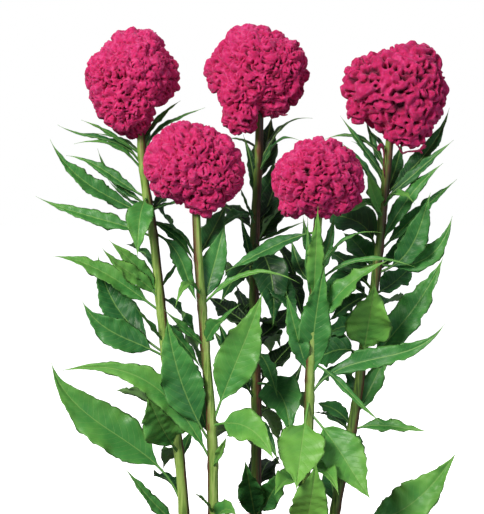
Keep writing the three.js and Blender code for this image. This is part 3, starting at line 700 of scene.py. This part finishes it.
def leaf_skin_points(root, row, rng):
    """Cross-sections of one leaf, and for each of their points the blade map and the marks."""
    at, tip_x, tip_y, tip_height, width, face, rise_low, rise_high, *bare = row
    tip = np.array([tip_x, root[1] + tip_y, SOIL_Z + tip_height])
    # The bare stalk's share of the length, and how many sections and points across half a section it needs.
    stalk = bare[0] if bare else min(0.2, max(0.08, 0.06 + width / 300))
    steps = int(min(56, max(18, np.linalg.norm(tip - root) / SECTION_GAP)))
    cells = int(min(9, max(3, width / CELL_WIDTH)))
    t = np.linspace(0.004, 0.997, steps)
    # The midrib, and at each of its points the way across the blade and the way out of its face.
    line, ahead = rib_line(root, tip, rise_low, rise_high, t)
    mm_along = np.r_[0, np.cumsum(np.linalg.norm(np.diff(line, axis=0), axis=1))]
    turn = np.radians(face + rng.uniform(-TWIST, TWIST) * (t - 0.35))
    look = np.c_[0 * t, -np.sin(turn), np.cos(turn)]
    normal = unit(look - (look * ahead).sum(1, keepdims=True) * ahead)
    side = np.cross(ahead, normal)
    half = width / 2 * blade_share(np.clip((t - stalk) / (1 - stalk), 0, 1))

    # s runs from one edge, at -1, to the other, at 1. The two edges wave and are cut each in its own way.
    s = np.linspace(-1, 1, 2 * cells + 1)
    phase = rng.uniform(0, 6, 4)
    wave_length = max(16, mm_along[-1] / rng.uniform(2.6, 4.2))
    sign = np.where(s < 0, 0, 1)
    seed = rng.uniform(0, 500)
    ripple = 0.6 * np.sin(2 * math.pi * mm_along[:, None] / wave_length + phase[sign])
    ripple = ripple + 0.7 * wander(mm_along, WAVE_PATCH, seed)[:, sign]
    tooth = 0.4 * np.sin(2 * math.pi * mm_along[:, None] / SWING_LENGTH + 2 * ripple + phase[2 + sign])
    cuts = 0.6 * wander(mm_along, CUT_LENGTH, seed + 50) + 0.5 * wander(mm_along, NICK_LENGTH, seed + 90)
    tooth = tooth + cuts[:, sign]
    # The stalk runs on as the rib and thins toward the tip, and no section is narrower than it.
    least = PETIOLE_RADIUS * (1 - 0.88 * np.clip((t - 0.35) / 0.6, 0, 1))[:, None]
    cut = np.minimum(EDGE_TOOTH * half, DEEPEST_TOOTH)[:, None] * tooth * np.abs(s) ** 3
    across = np.maximum(half[:, None] + cut, least) * s
    # The veins are counted along the blade, and the two sides take turns.
    spacing = min(8, max(3.5, width * VEIN_GAP))
    start = mm_along[:, None] - VEIN_LEAN * np.abs(across) - VEIN_CURVE * across ** 2
    veins = start / spacing + 0.5 * sign
    veins = veins + 0.3 * np.sin(mm_along[:, None] / 11 + phase[2 + sign])
    # The height of the sheet: fold, waves, quilting and fine unevenness. The stalk has none of them.
    blade = np.minimum(1, half / 4)[:, None]
    window = np.sin(math.pi * np.abs(s)) ** 0.7
    lift = half[:, None] * BLADE_FOLD * np.abs(s) ** 1.4
    lift = lift + np.minimum(EDGE_WAVE * half, HIGHEST_WAVE)[:, None] * ripple * np.abs(s) ** 2.2
    lift = lift + QUILT * blade * window * (0.5 - 0.5 * np.cos(2 * math.pi * veins))
    patches = np.sin(mm_along[:, None] / PATCH_ALONG + 4 * s + phase[0])
    patches = patches * np.sin(mm_along[:, None] / PATCH_ACROSS - 5 * s + phase[1])
    lift = lift + CRUMPLE * blade * patches
    # Its thickness: round at the stalk, a thin sheet with a rib below at the blade.
    stalk_half = least * np.sqrt(1 - s ** 2)
    blade_half = BLADE_HALF_THICKNESS * np.sqrt(1 - s ** 8)
    thick = stalk_half + (blade_half - stalk_half) * blade
    near_rib = np.exp(-(across / 1.1) ** 2) * blade * (1 - t[:, None]) ** 0.5
    top = lift + thick - 0.3 * near_rib
    low = lift - thick - RIB_HEIGHT * near_rib
    # Round each section, over the top and back along the underside.
    order = np.r_[0:2 * cells + 1, 2 * cells - 1:0:-1]
    upper = np.arange(len(order)) <= 2 * cells
    height = np.where(upper, top[:, order], low[:, order])
    sections = line[:, None] + side[:, None] * across[:, order, None] + normal[:, None] * height[..., None]
    blade_map = np.stack([veins[:, order], np.abs(across[:, order]) / 10], -1)
    under = np.broadcast_to(~upper, height.shape) * 1.0
    under[:, [0, 2 * cells]] = 0.4
    tone = rng.uniform(-1, 1) + TIP_TONE * (t[:, None] - 0.45) + EDGE_TONE * (np.abs(s[order]) ** 2 - 0.3)
    return sections, blade_map, np.stack([tone, under], -1)


rng = np.random.default_rng(3)
row = max(PLANTS["left"]["leaves"], key=lambda leaf: leaf[4])
trial = leaf_skin_points(stem_at(stem_points(PLANTS["left"]), row[0]), row, rng)[0]
print("sections and points in the widest leaf:", trial.shape[:2])

# %% [markdown]
# ## Foliage
# The leaves of one plant become one piece. Leaves deep in the bunch are a darker green, partly their own
# colour and partly painted shade, so each plant has its own tone. Those that reach to the front are
# lighter, as painted light, the lowest ones are lighter too, and each leaf differs a little from its
# neighbours.

# %% Leaves
# The plant tones are partly painted shade, darker deep in the bunch, and the forward tone is painted light.
PLANT_TONE_AND_SHADE = {"left": 0.48, "frontleft": 0.48, "back": 0.12, "frontright": 0.48, "right": 0.42}
LEAF_TONE_SPREAD = 0.13
FORWARD_PAINTED_LIGHT = 0.003  # lighter by this for each millimetre that the tip reaches to the front
LOW_TONE = 0.12  # how much lighter the oldest leaves, at the foot, are than the youngest


def build_leaves(name, plant, seed):
    rng = np.random.default_rng(seed)
    line = stem_points(plant)
    points, faces, maps, marks, count = [], [], [], [], 0
    for row in plant["leaves"]:
        sections, blade_map, leaf_marks = leaf_skin_points(stem_at(line, row[0]), row, rng)
        rings, around = sections.shape[:2]
        faces += ring_faces(rings, around, count)
        # Painted shade and painted light: darker for a plant deep in the bunch, lighter for a leaf that
        # reaches forward.
        leaf_marks[..., 0] = (PLANT_TONE_AND_SHADE[name] + LEAF_TONE_SPREAD * leaf_marks[..., 0]
                              - FORWARD_PAINTED_LIGHT * row[2] + LOW_TONE * (0.5 - row[0] / 400))
        for kept, more in ((points, sections), (maps, blade_map), (marks, leaf_marks)):
            kept.append(more.reshape(rings * around, -1))
        count += rings * around
    made = new_piece(f"leaves_{name}", np.concatenate(points), faces, leaf_skin,
                     f"leafy_stem_{name}", np.concatenate(marks))
    corners = np.zeros(len(made.data.loops), np.int32)
    made.data.loops.foreach_get("vertex_index", corners)
    layer = made.data.uv_layers.new(name="blade")
    layer.data.foreach_set("uv", np.concatenate(maps)[corners].astype(np.float32).ravel())
    return made


for seed, (name, plant) in enumerate(PLANTS.items()):
    print(size_of(build_leaves(name, plant, seed)))

# %% [markdown]
# ## Crest velvet
# The flower head of a cockscomb is one broad ribbon that has folded again and again. Thousands of tiny
# bristly florets cover it, so it looks like velvet: rough, deep magenta, and a little paler at a grazing
# angle, which is what sheen gives. The tops of the folds are bright, and the gaps between them are dark.
# The finish paints the creases, the pits and the open side of each head darker, as painted shade.

# %% Crest finish
FLORET_SIZE = 0.9 * MM
MOTTLE_SIZE = 4.5 * MM

crest_skin, tree, out = new_finish("velvety_crest_petals")
marks = read_marks(tree)
place = add_node(tree, "ShaderNodeTexCoord").outputs["Object"]
florets = add_node(tree, "ShaderNodeTexVoronoi", {"Vector": place, "Scale": 1 / FLORET_SIZE})
mottle = add_node(tree, "ShaderNodeTexNoise", {"Vector": place, "Scale": 1 / MOTTLE_SIZE, "Detail": 2.5})
# The Red mark is painted shade on the heads: lower in creases and pits, and on the open side.
painted_shading_share = calculate(tree, "MULTIPLY_ADD", marks["Red"], 0.62, -0.2)
height = calculate(tree, "MULTIPLY_ADD", mottle.outputs["Fac"], 0.9, painted_shading_share)
pinks_and_shade = set_stops(add_node(tree, "ShaderNodeValToRGB", {0: height}), [
    (0.20, "#42182A"), (0.45, "#86274A"), (0.68, "#B8285E"), (0.86, "#C83070"), (1.0, "#D64A84")])
relief = add_node(tree, "ShaderNodeBump", {
    "Height": florets.outputs["Distance"], "Strength": 0.3, "Distance": 0.4 * MM})
velvet = add_node(tree, "ShaderNodeBsdfPrincipled", {
    "Base Color": pinks_and_shade.outputs["Color"], "Roughness": 0.8, "IOR": 1.4, "Specular IOR Level": 0.15,
    "Subsurface Weight": 0.5, "Subsurface Radius": (3.0, 0.8, 1.4), "Subsurface Scale": 1 * MM,
    "Sheen Weight": 0.34, "Sheen Roughness": 0.4, "Sheen Tint": linear("#FFB4CC"),
    "Normal": relief.outputs[0]})
tree.links.new(velvet.outputs[0], out.inputs["Surface"])
print("finish:", crest_skin.name)

# %% [markdown]
# ## An even skin for the crest
# A head's broad shape is a few lobes, blended as the solid blends them. A sphere pulled out to that shape
# has large triangles on a far lobe and small ones near the middle, and folds grown on it would be as
# uneven. The voxel remesh gives the same shape a skin of even squares, so a fold is as wide everywhere.

# %% Lobes and skin
SKIN_STEP = 0.79  # mm between two points of the skin


def head_reach(lobes, directions):
    """How far the head reaches from its middle in each direction, in millimetres."""
    total = np.zeros(len(directions))
    for x, y, z, radius in lobes:
        ahead = directions @ np.array([x, y, z], float)
        inside = radius ** 2 - (x * x + y * y + z * z) + ahead ** 2
        total += np.where(inside > 0, np.exp((ahead + np.sqrt(np.maximum(inside, 0))) / LOBE_BLEND), 0)
    return LOBE_BLEND * np.log(total)


def head_skin(lobes):
    """Points, outward normals and square faces of a head's broad shape."""
    shape = bmesh.new()
    bmesh.ops.create_icosphere(shape, subdivisions=6, radius=1)
    ball = np.array([v.co for v in shape.verts], float)
    for v, point in zip(shape.verts, ball * head_reach(lobes, ball)[:, None]):
        v.co = point
    mesh = bpy.data.meshes.new("rough_head")
    shape.to_mesh(mesh)
    shape.free()
    rough = bpy.data.objects.new("rough_head", mesh)
    bpy.context.scene.collection.objects.link(rough)
    remesh = rough.modifiers.new("even", "REMESH")
    remesh.mode, remesh.voxel_size = "VOXEL", SKIN_STEP
    even = bpy.data.meshes.new_from_object(rough.evaluated_get(bpy.context.evaluated_depsgraph_get()))
    points, normals = np.zeros((2, len(even.vertices) * 3), np.float32)
    even.vertices.foreach_get("co", points)
    even.vertex_normals.foreach_get("vector", normals)
    faces = np.zeros(len(even.loops), np.int32)
    even.loops.foreach_get("vertex_index", faces)
    bpy.data.objects.remove(rough)
    return points.reshape(-1, 3), normals.reshape(-1, 3), faces.reshape(-1, 4)


skin_points = head_skin(PLANTS["back"]["lobes"])[0]
print("points on the back head:", len(skin_points), "box:", np.ptp(skin_points, axis=0).round(1))

# %% [markdown]
# ## Spreading a value over the skin
# To let a pattern grow on the skin, each point has to know its neighbours. Averaging every point with them
# again and again spreads a value evenly in all directions, like ink in paper.

# %% Neighbours
MOST_NEIGHBOURS = 6


def neighbours(faces, count):
    """For each point the points that share an edge with it, filled up with the point itself."""
    starts, ends = faces.ravel(), np.roll(faces, -1, axis=1).ravel()
    order = np.argsort(starts, kind="stable")
    starts, ends = starts[order], ends[order]
    place = np.arange(len(starts)) - np.searchsorted(starts, starts)
    fits = place < MOST_NEIGHBOURS
    beside = np.repeat(np.arange(count)[:, None], MOST_NEIGHBOURS, axis=1)
    beside[starts[fits], place[fits]] = ends[fits]
    return beside


def soften(values, beside, times):
    """Spreads values over the skin by averaging each point with its neighbours."""
    for _ in range(times):
        values = (values + values[beside].sum(axis=1)) / (MOST_NEIGHBOURS + 1)
    return values


def unevenness(points, size, seed):
    """Soft noise between -1 and 1 at points in millimetres, with lumps of the given size."""
    shift = Vector((1.7 * seed, 7.3 * seed, 2.1))
    return np.array([noise.noise(Vector(p) / size + shift) for p in points.tolist()], np.float32)


print("noise at the origin:", unevenness(np.zeros((1, 3)), 1, 1))

# %% [markdown]
# ## Lips that grow
# A cockscomb is a ribbon folded so tightly that only its edge shows: a thick lip that winds over the head
# in loops, with a pit in each loop. Such a line is the border between high and low ground of a pattern
# that grows by itself. At each round a point goes up where its near surroundings are higher than its wider
# ones, and down where they are lower. How far the two reach sets how wide the loops are, and mixing two
# reaches lets the loops open from fine to coarse. A few rounds are enough, because more of them would comb
# the loops into stripes as even as a coral's. Some noise on top makes the line swing from side to side,
# as the real edge does because it grew longer than the ribbon below it.


# %% Growing the lips
ROUNDS = 5
SPROUT_SIZE = 1.1  # mm, of the first noise
WIGGLE, WIGGLE_SIZE = 0.45, 2.6  # how strongly a lip swings from side to side, and over how many mm


def grow_border(points, beside, fine, coarse, share, seed, broad):
    """For each point its distance from the winding line, in millimetres."""
    value = unevenness(points, SPROUT_SIZE * broad, seed)
    for _ in range(ROUNDS):
        near = soften(value, beside, fine)
        contrast = near - soften(near, beside, 3 * fine)
        far = soften(near, beside, coarse - fine)
        wider = far - soften(far, beside, 3 * coarse)
        value = contrast / contrast.std() * (1 - share) + wider / wider.std() * share
        value = np.tanh(1.6 * value)
    swing = WIGGLE * (1 - share / 2) * unevenness(points, WIGGLE_SIZE * broad, seed + 5)
    value = soften(value, beside, 1) + swing
    gaps = np.linalg.norm(points[beside] - points[:, None], axis=2) + 1e-3
    steepest = np.sqrt(2 * (((value[beside] - value[:, None]) / gaps) ** 2).mean(axis=1))
    return np.abs(value) / (soften(steepest, beside, 3) + 0.04)


print("lips grow on", len(PLANTS), "heads")

# %% [markdown]
# ## Flower heads
# On the tight side of a head the lips touch in small puffs, with only a soft crease between them. On the
# open side they are broad ruffles. A pit opens only where two lips stand far apart, and only in some such
# places, so the dark spots are few and uneven. Small round holes are scattered between the ruffles, and the
# right head has a wide one in front. The whole head is also lumpy, because the folds bunch together in
# knobs. Where a lip's side is steep it is pushed out over the crease, which gives it the thick rolled edge
# of the real ribbon, and a fine crinkle runs over everything.

# %% Flower heads
LIP_TOP = 1.0
CREASE_DEPTH, PIT_DEPTH = 1.5, 8.0
PIT_START, PIT_EDGE = 1.3, 1.1  # how far from a lip a pit begins, and over how much it falls
PIT_SPACING, PIT_CONTRAST = 6.0, 4.0
DOT_SIZE, DOT_CONTRAST = 3.0, 2.8  # breaks a long pit up into dots
HOLE_SIZE, HOLE_LEVEL, HOLE_CONTRAST = 3.6, 0.26, 6.0  # round holes between the ruffles
WIDE_HOLE = {"right": (3, -14, 5.0)}  # x and height from the head's middle, and radius, of one in front
WIDE_HOLE_DEPTH = 1.5  # times as deep as a pit
TIGHT_LIP, OPEN_LIP = 2.0, 2.4  # half the lip's width
OVERHANG, STEEP = 0.6, 97  # how far a lip leans out, in mm, where its side is steeper than 97% of all
SMOOTHING = 10  # rounds that turn the skin's normals into the way out of the head's broad shape
PLAIN_SHARE = 0.22  # how much of its depth a crease keeps where no pit opens
# Painted shade: the finish is darker in creases and pits, and on the open side, to the lower right, away from
# the light.
PIT_SHADE, CREASE_SHADE, OPEN_SHADE = 0.7, 0.3, 0.2  # how much darker the finish is there
OPEN_LEAN, OPEN_PATCH, PATCH_SIZE = 0.4, 0.7, 21  # the open side, and open patches of so many mm
KNOB_SIZE, KNOB_HEIGHT, KNOB_CONTRAST = 13, 5.0, 2.4
PUFF_SIZE, PUFF_HEIGHT, PUFF_CONTRAST = 4.5, 1.3, 2.6  # small knobs, on the tight side only
MEAN_KNOB, MEAN_PUFF = 0.55, 0.5  # taken off, so that knobs and puffs leave the head as large as it was
CRINKLE_SIZE, CRINKLE_HEIGHT = 2.8, 0.35
OPEN_SIDE = unit(np.array([0.45, -0.75, -0.4]))
# Spreading steps of the fine and the coarse loops, how open the head is, its seed, and how many times as
# broad its ruffles are as the sizes above say.
CREST = {"left": (6, 11, 0.4, 11, 1), "frontleft": (6, 12, 0.42, 12, 1.05),
         "back": (8, 16, 0.5, 13, 1.15), "frontright": (7, 13, 0.5, 14, 1.1),
         "right": (20, 49, 0.8, 15, 1.7)}


def build_head(name, plant):
    fine, coarse, open_share, seed, broad = CREST[name]
    base, normals, faces = head_skin(plant["lobes"])

    def lumps(size, more):
        return unevenness(base, size * broad, seed + more)

    # Where the head is open, and how near each point is to a lip.
    beside = neighbours(faces, len(base))
    outward = unit(soften(normals, beside, SMOOTHING))
    opened = open_share + OPEN_LEAN * unit(base) @ OPEN_SIDE + OPEN_PATCH * unevenness(base, PATCH_SIZE, seed)
    opened = np.clip(opened, 0, 1).astype(np.float32)
    away = grow_border(base, beside, fine, coarse, opened, seed, broad) / broad
    lip = np.exp(-(away / (TIGHT_LIP + (OPEN_LIP - TIGHT_LIP) * opened)) ** 2)
    # Knobs, puffs and crinkle raise it. Creases, pits and holes lower it.
    knobs = np.minimum(1, KNOB_CONTRAST * np.abs(unevenness(base, KNOB_SIZE, seed + 1))) - MEAN_KNOB
    puffs = (1 - opened) * (np.minimum(1, PUFF_CONTRAST * np.abs(lumps(PUFF_SIZE, 3))) - MEAN_PUFF)
    frill = PUFF_HEIGHT * puffs + CRINKLE_HEIGHT * lumps(CRINKLE_SIZE, 2)
    wide = np.clip((away - PIT_START) / PIT_EDGE, 0, 1)
    spots = np.clip(PIT_CONTRAST * lumps(PIT_SPACING, 4), 0, 1)
    dots = np.clip(0.5 + DOT_CONTRAST * lumps(DOT_SIZE, 6), 0, 1)
    holes = np.clip(HOLE_CONTRAST * (lumps(HOLE_SIZE, 7) - HOLE_LEVEL), 0, 1)
    pits = np.maximum(wide ** 2 * (3 - 2 * wide) * spots * dots, holes * opened)
    if name in WIDE_HOLE:
        x, z, radius = WIDE_HOLE[name]
        off = np.hypot(base[:, 0] - x, base[:, 2] - z)
        off[base[:, 1] > 0] = np.inf  # the back has none
        pits = np.maximum(pits, WIDE_HOLE_DEPTH * np.exp(-(off / radius) ** 4))
    bold = PLAIN_SHARE + (1 - PLAIN_SHARE) * spots
    sunk = CREASE_DEPTH * (1 - lip) * bold + (PIT_DEPTH - CREASE_DEPTH) * pits
    lift = LIP_TOP - sunk + KNOB_HEIGHT * knobs + frill
    # A lip's steep side leans out over its crease.
    slope = ((lip[beside] - lip[:, None])[..., None] * (base[beside] - base[:, None])).sum(axis=1)
    slope = soften(-slope / np.percentile(np.linalg.norm(slope, axis=1), STEEP), beside, 1)
    points = base + outward * lift[:, None] + slope * (OVERHANG * lip * bold)[:, None]
    middle = np.array(plant["head"], float) + [0, 0, SOIL_Z]
    # Painted shade, kept as the Red mark: darker in creases, pits and on the open side.
    painted_head_shading = 1 - CREASE_SHADE * (1 - lip) * bold - PIT_SHADE * pits - OPEN_SHADE * (opened - 0.5)
    return new_piece(f"crest_{name}", points + middle, faces, crest_skin,
                     f"flower_head_{name}", painted_head_shading[:, None])


for name, plant in PLANTS.items():
    print(size_of(build_head(name, plant)))

# %% [markdown]
# ## Stray strips
# Here and there a thin strip of the ribbon grew away from its head, and hangs under it or stands on the
# stem on a hair-thin stalk. A strip is a bent rod that swells toward its end, so a tube is swept along
# a curve through a few points, and its radius follows the same curve as a fourth number.

# %% Stray strips
STRIP_SIDES = 10
THICK_STRIP = 1.6  # mm, the radius from which a strip is as bright as it gets
# The points of each strip: x, y, height above the soil and radius, in millimetres.
STRAYS = {
    "back": [[[21, 34, 437, 0.9], [27, 30, 433.4, 0.9], [31, 28, 432.4, 1.1], [35, 27, 432.9, 0.5]],
             [[19, 32, 438, 1.0], [19.2, 30, 432, 0.9], [19.5, 29, 428.4, 0.5]]],
    "right": [[[133, 9, 366, 0.6], [131, 6, 378, 0.6], [130.8, 4, 390, 0.7], [130.2, 3, 398, 1.0],
               [128.8, 2, 402.4, 1.2], [127.4, 2, 403.8, 0.9], [125.8, 1, 401, 1.8], [125.4, 0, 397.4, 1.3]],
              [[145, 6, 402, 0.8], [149.6, 4, 394.8, 1.0], [154, 2, 396.2, 0.9], [161, 0, 396.8, 1.1],
               [166, -1, 397.6, 1.3], [169, -2, 400.6, 1.5], [170.6, -2, 403.6, 1.3]],
              [[166, -1, 397.4, 1.1], [167.8, -1, 395.6, 1.3], [168.8, -1, 394.2, 0.6]],
              [[169, -2, 400, 1.2], [171.2, -2, 401.4, 1.7], [172.8, -2, 401.6, 0.7]]],
}


def build_strips(name, strips):
    points, faces, marks = [], [], []
    turns = np.linspace(0, 2 * math.pi, STRIP_SIDES, endpoint=False)
    for strip in strips:
        rows = np.array(strip, float) + [0, 0, SOIL_Z, 0]
        way = np.array([stem_point(rows, share) for share in np.linspace(0, 1, 9 * len(strip))])
        ahead = unit(np.gradient(way[:, :3], axis=0))
        side = unit(np.cross(ahead, [0, 1, 0]))
        rough = 1 + 0.3 * unevenness(way[:, :3], 1.5, 3)
        reach = (way[:, 3] * rough)[:, None, None]
        rings = way[:, None, :3] + reach * (np.cos(turns)[None, :, None] * side[:, None]
                                            + np.sin(turns)[None, :, None] * np.cross(side, ahead)[:, None])
        faces += ring_faces(len(way), STRIP_SIDES, sum(map(len, points)))
        points.append(rings.reshape(-1, 3))
        marks.append(np.repeat(0.4 * np.minimum(1, way[:, 3:] / THICK_STRIP), STRIP_SIDES, axis=0))
    return new_piece(f"stray_strips_{name}", np.concatenate(points), faces, crest_skin,
                     f"flower_head_{name}", np.concatenate(marks))


for name, strips in STRAYS.items():
    print(size_of(build_strips(name, strips)))

# %% [markdown]
# ## Fired clay
# The pot is plain terracotta, fired clay that was thrown on a wheel. It is matt and porous, its orange
# varies softly, and lime from the water leaves a pale bloom in scattered patches.

# %% Clay finish
GRIT_SIZE = 1.5 * MM

clay_skin, tree, out = new_finish("fired_terracotta")
place = add_node(tree, "ShaderNodeTexCoord").outputs["Object"]
bands = add_node(tree, "ShaderNodeMapping", {"Vector": place, "Scale": (4, 4, 60)})
clouds = add_node(tree, "ShaderNodeTexNoise", {"Vector": bands.outputs[0], "Scale": 3.0, "Detail": 5.0})
clay_colour = set_stops(add_node(tree, "ShaderNodeValToRGB", {0: clouds.outputs["Fac"]}), [
    (0.30, "#A4573A"), (0.50, "#B96A48"), (0.70, "#C98260")])
stains = add_node(tree, "ShaderNodeTexNoise", {"Vector": place, "Scale": 22.0, "Detail": 8.0})
bloom = add_node(tree, "ShaderNodeMapRange", {
    "Value": stains.outputs["Fac"], "From Min": 0.52, "From Max": 0.74, "To Max": 0.45})
limed = add_node(tree, "ShaderNodeMix", {
    "Factor": bloom.outputs[0], 6: clay_colour.outputs["Color"], 7: linear("#D9C4B0")}, data_type="RGBA")
grit = add_node(tree, "ShaderNodeTexNoise", {"Vector": place, "Scale": 1 / GRIT_SIZE, "Detail": 3.0})
relief = add_node(tree, "ShaderNodeBump", {
    "Height": grit.outputs["Fac"], "Strength": 0.35, "Distance": 0.4 * MM})
clay = add_node(tree, "ShaderNodeBsdfPrincipled", {
    "Base Color": limed.outputs[2], "Roughness": 0.88, "IOR": 1.5, "Specular IOR Level": 0.3,
    "Normal": relief.outputs[0]})
tree.links.new(clay.outputs[0], out.inputs["Surface"])
print("finish:", clay_skin.name)

# %% [markdown]
# ## Pot shape
# A pot is turned, so its mesh is a profile swept round the axis. The rim and foot are rounded by a few
# short steps, the outside has faint rings from the potter's fingers, and four drain holes are cut in the
# floor with a Boolean, which is the simplest way to get a clean round hole through a thick wall.

# %% Pot
POT_HEIGHT, POT_RIM_RADIUS, POT_FOOT_RADIUS = 190, 112, 78
WALL, RIM_DEPTH, RIM_PROUD, FLOOR_THICKNESS = 7, 34, 5, 9
DRAIN_RADIUS, DRAIN_CIRCLE = 6, 44
POT_SIDES = 144
EDGE, EDGE_STEPS = 3.0, 5
RING_DEPTH, RING_SWELL = 0.12, 0.1  # mm, of the finger rings and of the slow swell that they ride on


def wall_radius(z):
    return POT_FOOT_RADIUS + (POT_RIM_RADIUS - RIM_PROUD - POT_FOOT_RADIUS) * z / POT_HEIGHT


def rounded(corner, before, after):
    """A corner of a profile, rounded between a point before it and a point after it."""
    corner, before, after = (np.array(p, float) for p in (corner, before, after))
    a, b = corner + unit(before - corner) * EDGE, corner + unit(after - corner) * EDGE
    return [(1 - t) ** 2 * a + 2 * t * (1 - t) * corner + t ** 2 * b for t in np.linspace(0, 1, EDGE_STEPS)]


def pot_profile():
    rim_foot, inner = POT_HEIGHT - RIM_DEPTH, POT_RIM_RADIUS - RIM_PROUD - WALL
    corners = [(0, 0), (POT_FOOT_RADIUS, 0), (wall_radius(rim_foot), rim_foot), (POT_RIM_RADIUS, rim_foot),
               (POT_RIM_RADIUS, POT_HEIGHT), (inner, POT_HEIGHT),
               (wall_radius(FLOOR_THICKNESS) - WALL, FLOOR_THICKNESS), (0, FLOOR_THICKNESS)]
    line = []
    for before, corner, after in zip(corners, corners[1:], corners[2:]):
        bend = rounded(corner, before, after)
        if line and np.linalg.norm(bend[0] - line[-1]) > 8:
            gap = int(np.linalg.norm(bend[0] - line[-1]) / 3)
            line += [line[-1] + (bend[0] - line[-1]) * k / gap for k in range(1, gap)]
        line += bend
    rings = np.array(line)
    outside = (rings[:, 0] > wall_radius(rings[:, 1]) - 1) & (rings[:, 1] > 4)
    height = rings[:, 1]
    rings[:, 0] -= outside * (RING_DEPTH * (1 + np.sin(height * 1.3)) + RING_SWELL * np.sin(height * 0.37))
    return rings


turns = np.linspace(0, 2 * math.pi, POT_SIDES, endpoint=False)
profile = pot_profile()
points = [[r * math.cos(a), r * math.sin(a), z] for r, z in profile for a in turns]
pot = new_piece("clay_pot", points, ring_faces(len(profile), POT_SIDES), clay_skin, "pot")
shape = bmesh.new()
for k in range(4):
    angle = math.radians(45 + 90 * k)
    spot = Vector((DRAIN_CIRCLE * math.cos(angle), DRAIN_CIRCLE * math.sin(angle), 0)) * MM
    made = bmesh.ops.create_cone(shape, cap_ends=True, segments=32, radius1=DRAIN_RADIUS * MM,
                                 radius2=DRAIN_RADIUS * MM, depth=4 * FLOOR_THICKNESS * MM)
    bmesh.ops.translate(shape, verts=made["verts"], vec=spot)
cutter_mesh = bpy.data.meshes.new("drain_cutter")
shape.to_mesh(cutter_mesh)
shape.free()
cutter = bpy.data.objects.new("drain_cutter", cutter_mesh)
bpy.context.scene.collection.objects.link(cutter)
cut = pot.modifiers.new("drains", "BOOLEAN")
cut.operation, cut.object, cut.solver = "DIFFERENCE", cutter, "EXACT"
bpy.context.view_layer.update()
drilled = bpy.data.meshes.new_from_object(pot.evaluated_get(bpy.context.evaluated_depsgraph_get()))
pot.modifiers.clear()
pot.data = drilled
bpy.data.objects.remove(cutter)
print(size_of(pot))

# %% [markdown]
# ## Potting soil
# Potting soil is dark, crumbly and a little fibrous, and never quite one brown. Grains that are too small
# to model are in the finish, as cells with a little relief, and a soft noise mixes three browns.

# %% Soil finish
GRAIN_SIZE = 1.2 * MM

soil_skin, tree, out = new_finish("damp_potting_soil")
place = add_node(tree, "ShaderNodeTexCoord").outputs["Object"]
grains = add_node(tree, "ShaderNodeTexVoronoi", {"Vector": place, "Scale": 1 / GRAIN_SIZE})
patches = add_node(tree, "ShaderNodeTexNoise", {"Vector": place, "Scale": 90.0, "Detail": 6.0})
browns = set_stops(add_node(tree, "ShaderNodeValToRGB", {0: patches.outputs["Fac"]}), [
    (0.30, "#1C130D"), (0.50, "#35251A"), (0.70, "#574030")])
relief = add_node(tree, "ShaderNodeBump", {
    "Height": grains.outputs["Distance"], "Strength": 0.9, "Distance": 0.8 * MM})
earth = add_node(tree, "ShaderNodeBsdfPrincipled", {
    "Base Color": browns.outputs["Color"], "Roughness": 0.95, "Specular IOR Level": 0.2,
    "Normal": relief.outputs[0]})
tree.links.new(earth.outputs[0], out.inputs["Surface"])
print("finish:", soil_skin.name)

# %% [markdown]
# ## Soil shape
# The soil's top is a low mound of crumbs in all sizes. The big unevenness is in the mesh, which is a set of
# rings from the pot's floor up its wall and over the top. Loose crumbs lie on it as small rough stones,
# because a bump alone would leave its outline smooth.

# %% Soil
SOIL_MOUND = 7
SOIL_GAP = 0.8
SOIL_RINGS, SOIL_SIDES = 46, 150
CRUMBS = 260
MOUND_RADIUS = 98


def soil_height(x, y):
    """The soil's surface: a low mound with lumps and crumbs on it, in millimetres."""
    share = math.hypot(x, y) / MOUND_RADIUS
    spot = Vector((x, y, 0))
    crumbs = 1.6 * noise.noise(spot / 7) + 1.0 * noise.noise(spot / 2.6) + 1.2 * noise.noise(spot / 22)
    return SOIL_Z + (0.5 - share ** 2) * SOIL_MOUND + crumbs


edge = wall_radius(SOIL_Z) - WALL - SOIL_GAP
turns = np.linspace(0, 2 * math.pi, SOIL_SIDES, endpoint=False)
low = FLOOR_THICKNESS + 0.6
rings = [[(r * math.cos(a), r * math.sin(a), low) for a in turns] for r in (2, wall_radius(low) - WALL - 1)]
for k in range(SOIL_RINGS):
    r = edge * (1 - k / SOIL_RINGS)
    rings.append([(r * math.cos(a), r * math.sin(a), soil_height(r * math.cos(a), r * math.sin(a)))
                  for a in turns])
points, faces = [p for ring in rings for p in ring], ring_faces(len(rings), SOIL_SIDES)
rng = np.random.default_rng(5)
shape = bmesh.new()
bmesh.ops.create_icosphere(shape, subdivisions=2, radius=1)
stone = np.array([v.co for v in shape.verts])
stone_faces = [[v.index for v in f.verts] for f in shape.faces]
shape.free()
for _ in range(CRUMBS):
    size, r, a = rng.uniform(0.9, 3.0), edge * math.sqrt(rng.uniform(0, 0.94)), rng.uniform(0, 2 * math.pi)
    x, y = r * math.cos(a), r * math.sin(a)
    rough = stone * (size * (1 + 0.5 * unevenness(stone + rng.uniform(0, 90), 0.8, 1)))[:, None]
    faces += [[len(points) + k for k in face] for face in stone_faces]
    points += (rough * rng.uniform(0.6, 1.2, 3) + [x, y, soil_height(x, y) + 0.3 * size]).tolist()
print(size_of(new_piece("crumbly_soil", points, faces, soil_skin, "soil")))
